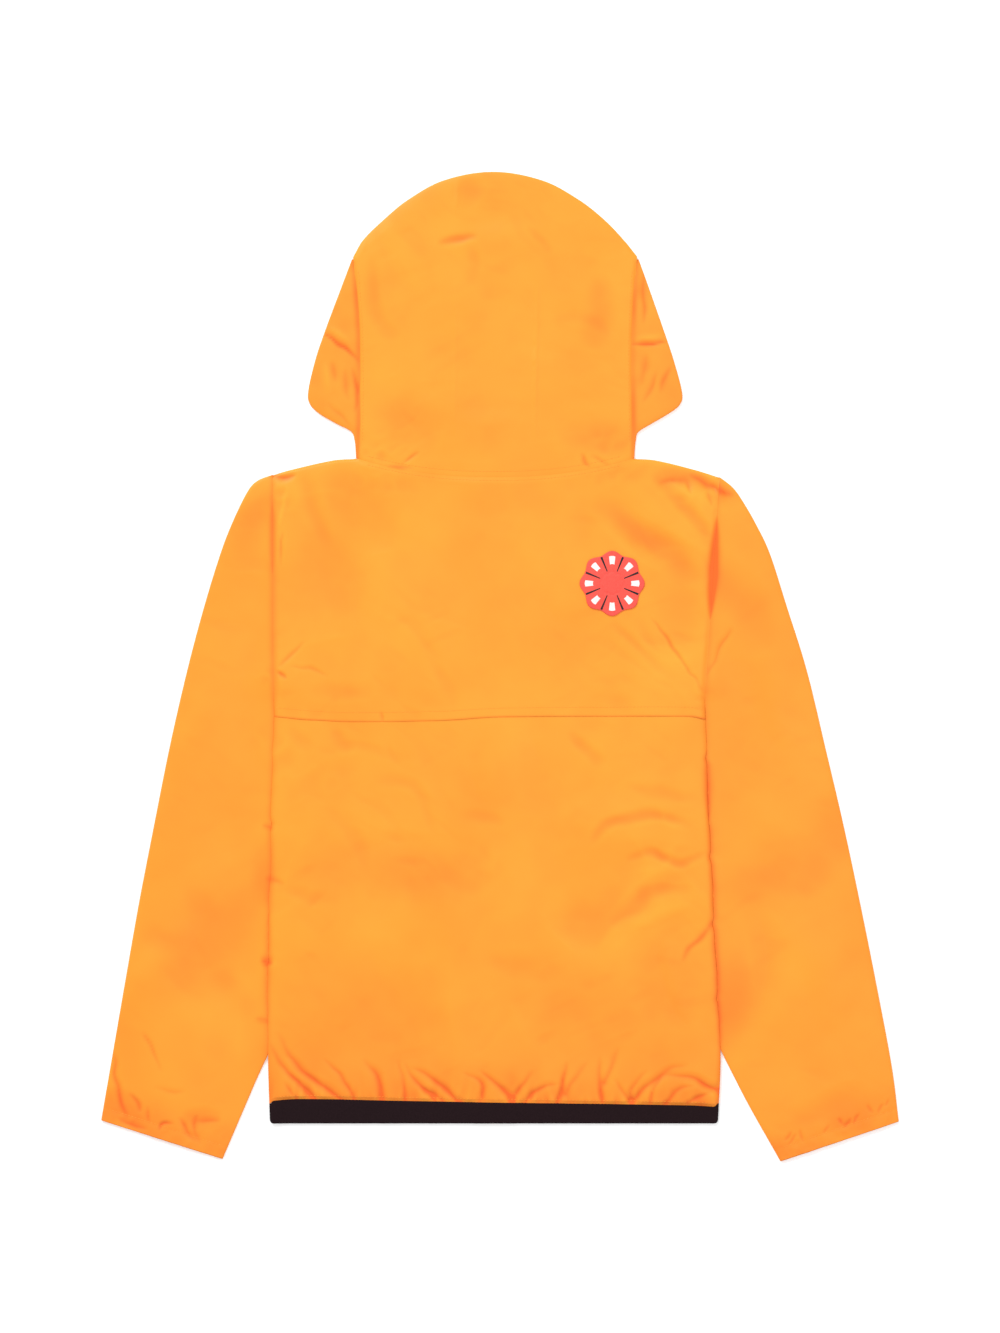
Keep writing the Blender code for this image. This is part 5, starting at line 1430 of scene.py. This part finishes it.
def surface_of(*pieces):
    """A function that drops a point onto the pieces from above."""
    graph = bpy.context.evaluated_depsgraph_get()
    graph.update()
    trees = [BVHTree.FromObject(piece, graph) for piece in pieces]

    def drop(x, y):
        hits = [tree.ray_cast(Vector((x, y, 1.0)), Vector((0, 0, -1)))[0] for tree in trees]
        return max((hit for hit in hits if hit is not None), key=lambda hit: hit.z, default=None)

    return drop


THREAD_RINGS = [
    # share of the way along, size, height
    (0.00, 0.35, -0.4),
    (0.18, 1.00, 0.5),
    (0.50, 1.10, 0.8),
    (0.82, 1.00, 0.5),
    (1.00, 0.35, -0.4),
]
THREAD_SIDES = 6


def add_thread(bm, first, last, radius):
    """One short thread between two points of the cloth, sunk into it at both ends."""
    up = Vector((0, 0, 1))
    side = (last - first).normalized().cross(up).normalized()
    rings = []
    for share, size, height in THREAD_RINGS:
        centre = first.lerp(last, share) + up * radius * height
        ring = []
        for k in range(THREAD_SIDES):
            turn = 2 * math.pi * k / THREAD_SIDES
            ring.append(bm.verts.new(centre + (side * math.cos(turn) + up * math.sin(turn)) * radius * size))
        rings.append(ring)
    for a, b in zip(rings, rings[1:]):
        for i in range(THREAD_SIDES):
            j = (i + 1) % THREAD_SIDES
            bm.faces.new((a[i], a[j], b[j], b[i]))
    bm.faces.new(rings[0][::-1])
    bm.faces.new(rings[-1])


def stitches(name, drop, xs, ys, pitch=0.0034, length=0.0023, radius=0.00020):
    """Short threads along a line, each lying on the cloth."""
    bm = bmesh.new()
    points = np.stack(np.broadcast_arrays(xs, ys), axis=-1).astype(float)
    ends = np.concatenate([[0.0], np.cumsum(np.hypot(*np.diff(points, axis=0).T))])

    def at(distance):
        return drop(*(float(np.interp(distance, ends, points[:, k])) for k in (0, 1)))

    for n in range(int(ends[-1] / pitch)):
        first, last = at(n * pitch), at(n * pitch + length)
        if first is not None and last is not None:
            add_thread(bm, first, last, radius)
    bmesh.ops.recalc_face_normals(bm, faces=bm.faces)
    made = bmesh_object(name, bm, THREAD)
    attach(made, "jacket")


# The patch's dark lines and white bars: half a width in petals, and how far out each begins and ends.
PETAL_LINE, LINE_START, LINE_END = 0.055, 0.40, 0.90
PETAL_BAR, BAR_START, BAR_END = 0.16, 0.56, 0.78


def patch_colour(turn, share):
    """0 red, 1 for the dark lines between the petals, 2 for the white bar on each petal."""
    if abs(turn - math.floor(turn) - 0.5) < PETAL_LINE and LINE_START < share < LINE_END:
        return 1
    return 2 if abs(turn - round(turn)) < PETAL_BAR and BAR_START < share < BAR_END else 0


def make_patch(drop):
    """A round embroidered flower: red petals parted by dark lines, each with a white bar."""
    rings, points, thick = 34, 160, 0.0009
    x0, y0 = PATCH_CENTRE
    bm = bmesh.new()
    grid = []
    for ring in range(1, rings + 1):
        share = min(1.0, ring / (rings - 2))
        row = []
        for k in range(points):
            angle = 2 * math.pi * k / points
            petal = 0.5 + 0.5 * math.cos(PATCH_LOBES * angle)
            reach = PATCH_RADIUS * (1 - PATCH_LOBE_DEPTH * (1 - petal)) * share
            x, y = x0 + reach * math.sin(angle), y0 + reach * math.cos(angle)
            height = thick + 0.0003 * petal * share - 0.0005 * bell(share - 0.36, 0.03)
            height = {rings - 1: 0.0005, rings: -0.0001}.get(ring, height)
            row.append(bm.verts.new((x, y, drop(x, y).z + height)))
        grid.append(row)
    centre = bm.verts.new((x0, y0, drop(x0, y0).z + thick))
    for k in range(points):
        bm.faces.new((centre, grid[0][k], grid[0][(k + 1) % points]))
    for ring, (a, b) in enumerate(zip(grid, grid[1:]), 2):
        for k in range(points):
            j = (k + 1) % points
            face = bm.faces.new((a[k], b[k], b[j], a[j]))
            face.material_index = patch_colour((k + 0.5) / points * PATCH_LOBES, (ring - 0.5) / rings)
    bmesh.ops.recalc_face_normals(bm, faces=bm.faces)
    made = cloth(bmesh_object("patch_flower", bm, RED, BLACK, WHITE), "patch")


def make_tape(side):
    y = even(HEM_Y + 0.001, ZIP_TOP_Y, 0.004)[:, None]
    columns = np.array([0.0022, RIB_HALF, 0.006, 0.010, 0.013, TAPE_REACH])
    x, y = np.broadcast_arrays(CENTRE_X + side * columns, y)
    face = front_z(x, np.maximum(y, HEM_TOP_Y)) + TAPE_Z + 0.0002
    name = f"zip_{NAMES[side]}"
    tape = cloth(sheet_mesh(f"{name}_tape", stack(x, y, face), TAPE), name)


def make_teeth(side):
    """One row of teeth, which lie between those of the other side."""
    bm = bmesh.new()
    middle = CENTRE_X + side * 0.0015
    first = HEM_Y + 0.002 + (0.5 * TOOTH_PITCH if side > 0 else 0.0)
    for tooth_y in np.arange(first, ZIP_TOP_Y - 0.001, TOOTH_PITCH):
        under = float(front_z(np.array([middle]), np.array([max(tooth_y, HEM_TOP_Y)]))[0])
        place = Vector((middle, tooth_y, under + 0.0012))
        for v in bmesh.ops.create_cube(bm, size=1.0)["verts"]:
            v.co = Vector([c * size for c, size in zip(v.co, TOOTH)]) + place
    bmesh.ops.bevel(bm, geom=bm.edges[:], offset=0.0002, segments=1, affect="EDGES")
    name = f"zip_{NAMES[side]}"
    cloth(bmesh_object(f"{name}_teeth", bm, TAPE, smooth=False), name)


def make_stitching(*pieces):
    """Rows of stitches that show on the back."""
    drop = surface_of(*pieces)
    xs = np.linspace(-0.2240, 0.2040, 160)
    stitches("flap_stitches", drop, xs, spline(FLAP_EDGE, xs)[0] + FLAP_STITCH)
    neck_x = np.linspace(CENTRE_X - NECK_HALF + 0.012, CENTRE_X + NECK_HALF - 0.012, 100)
    stitches("neck_stitches_low", drop, neck_x, back_top_y(neck_x) - NECK_STITCH_BELOW)
    stitches("neck_stitches_high", drop, neck_x, back_top_y(neck_x) + NECK_STITCH_ABOVE)
    xs = np.linspace(-0.2270, 0.2140, 160)
    stitches("hem_stitches", drop, xs, HEM_TOP_Y + band_rise(xs) + HEM_STITCH)
    ys = np.linspace(0.395, 0.222, 60)
    for side, crease_x in zip(NAMES, spline(CREASES, ys)):
        stitches(f"hood_stitches_{NAMES[side]}", drop, crease_x - side * HOOD_STITCH, ys)
    t = np.linspace(0.03, 0.97, 40)
    for side, table in SLEEVES.items():
        ox, oy, ix, iy = table[-1]
        up = np.array([oy - iy, ix - ox]) / math.hypot(ix - ox, iy - oy) * CUFF_HEM
        up = up if up[1] > 0 else -up
        stitches(f"cuff_stitches_{NAMES[side]}", drop, mix(ox, ix, t) + up[0], mix(oy, iy, t) + up[1])


MIDDLE_OF_VIEW = Vector((0.0, 0.0, 0.003))
LENS, SENSOR, VIEW_HEIGHT = 85.0, 36.0, 1.333
LAMPS = [
    # name, place, size, watts
    ("key", (-2.4, 4.8, 4.2), 2.2, 275.0),
    ("fill", (1.1, 0.2, 3.2), 2.0, 18.0),
]


def make_camera():
    """A camera straight above, as in the photo."""
    data = bpy.data.cameras.new("camera")
    data.lens, data.sensor_width = LENS, SENSOR
    camera = link("camera", data)
    camera.location = MIDDLE_OF_VIEW + Vector((0, 0, VIEW_HEIGHT * LENS / SENSOR))
    bpy.context.scene.camera = camera


def make_light():
    """A broad lamp beyond the hood, a weak one above, and an even white light all round."""
    for name, place, size, watts in LAMPS:
        light = bpy.data.lights.new(name, "AREA")
        light.size, light.energy = size, watts
        lamp = link(name, light)
        lamp.location = place
        lamp.rotation_euler = (MIDDLE_OF_VIEW - Vector(place)).to_track_quat("-Z", "Y").to_euler()
    world = bpy.data.worlds.new("studio")
    world.use_nodes = True
    set_inputs(world.node_tree.nodes["Background"], {"Color": (1, 1, 1, 1), "Strength": 0.80})
    bpy.context.scene.world = world
    bpy.context.scene.view_settings.view_transform = "Standard"


def make_floor():
    """The pale surface that the jacket lies on."""
    mesh = bpy.data.meshes.new("floor")
    half, below = 4.0, -0.0002
    corners = [(-half, -half, below), (half, -half, below), (half, half, below), (-half, half, below)]
    mesh.from_pydata(corners, [], [(0, 1, 2, 3)])
    made, _, _, shader = node_material("pale_floor")
    set_inputs(shader, {"Base Color": (0.90, 0.90, 0.90, 1), "Roughness": 0.9, "Specular IOR Level": 0.1})
    set_inputs(shader, {"Emission Color": (1, 1, 1, 1), "Emission Strength": 0.18})
    mesh.materials.append(made)
    link("floor", mesh)


lower_back = make_lower_back()
yoke = make_yoke()
for side in (-1, 1):
    make_front(side)
    make_hood_side(side)
    make_tape(side)
    make_teeth(side)
sleeves = [make_sleeve(side) for side in (-1, 1)]
hood_back = make_hood_back()
make_band()
make_patch(surface_of(yoke))
make_stitching(yoke, lower_back, hood_back, *sleeves)
for metal_node in ("zip_slider", "zip_pull"):
    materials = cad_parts[metal_node].data.materials
    materials.clear()
    materials.append(METAL)
make_camera()
make_light()
make_floor()
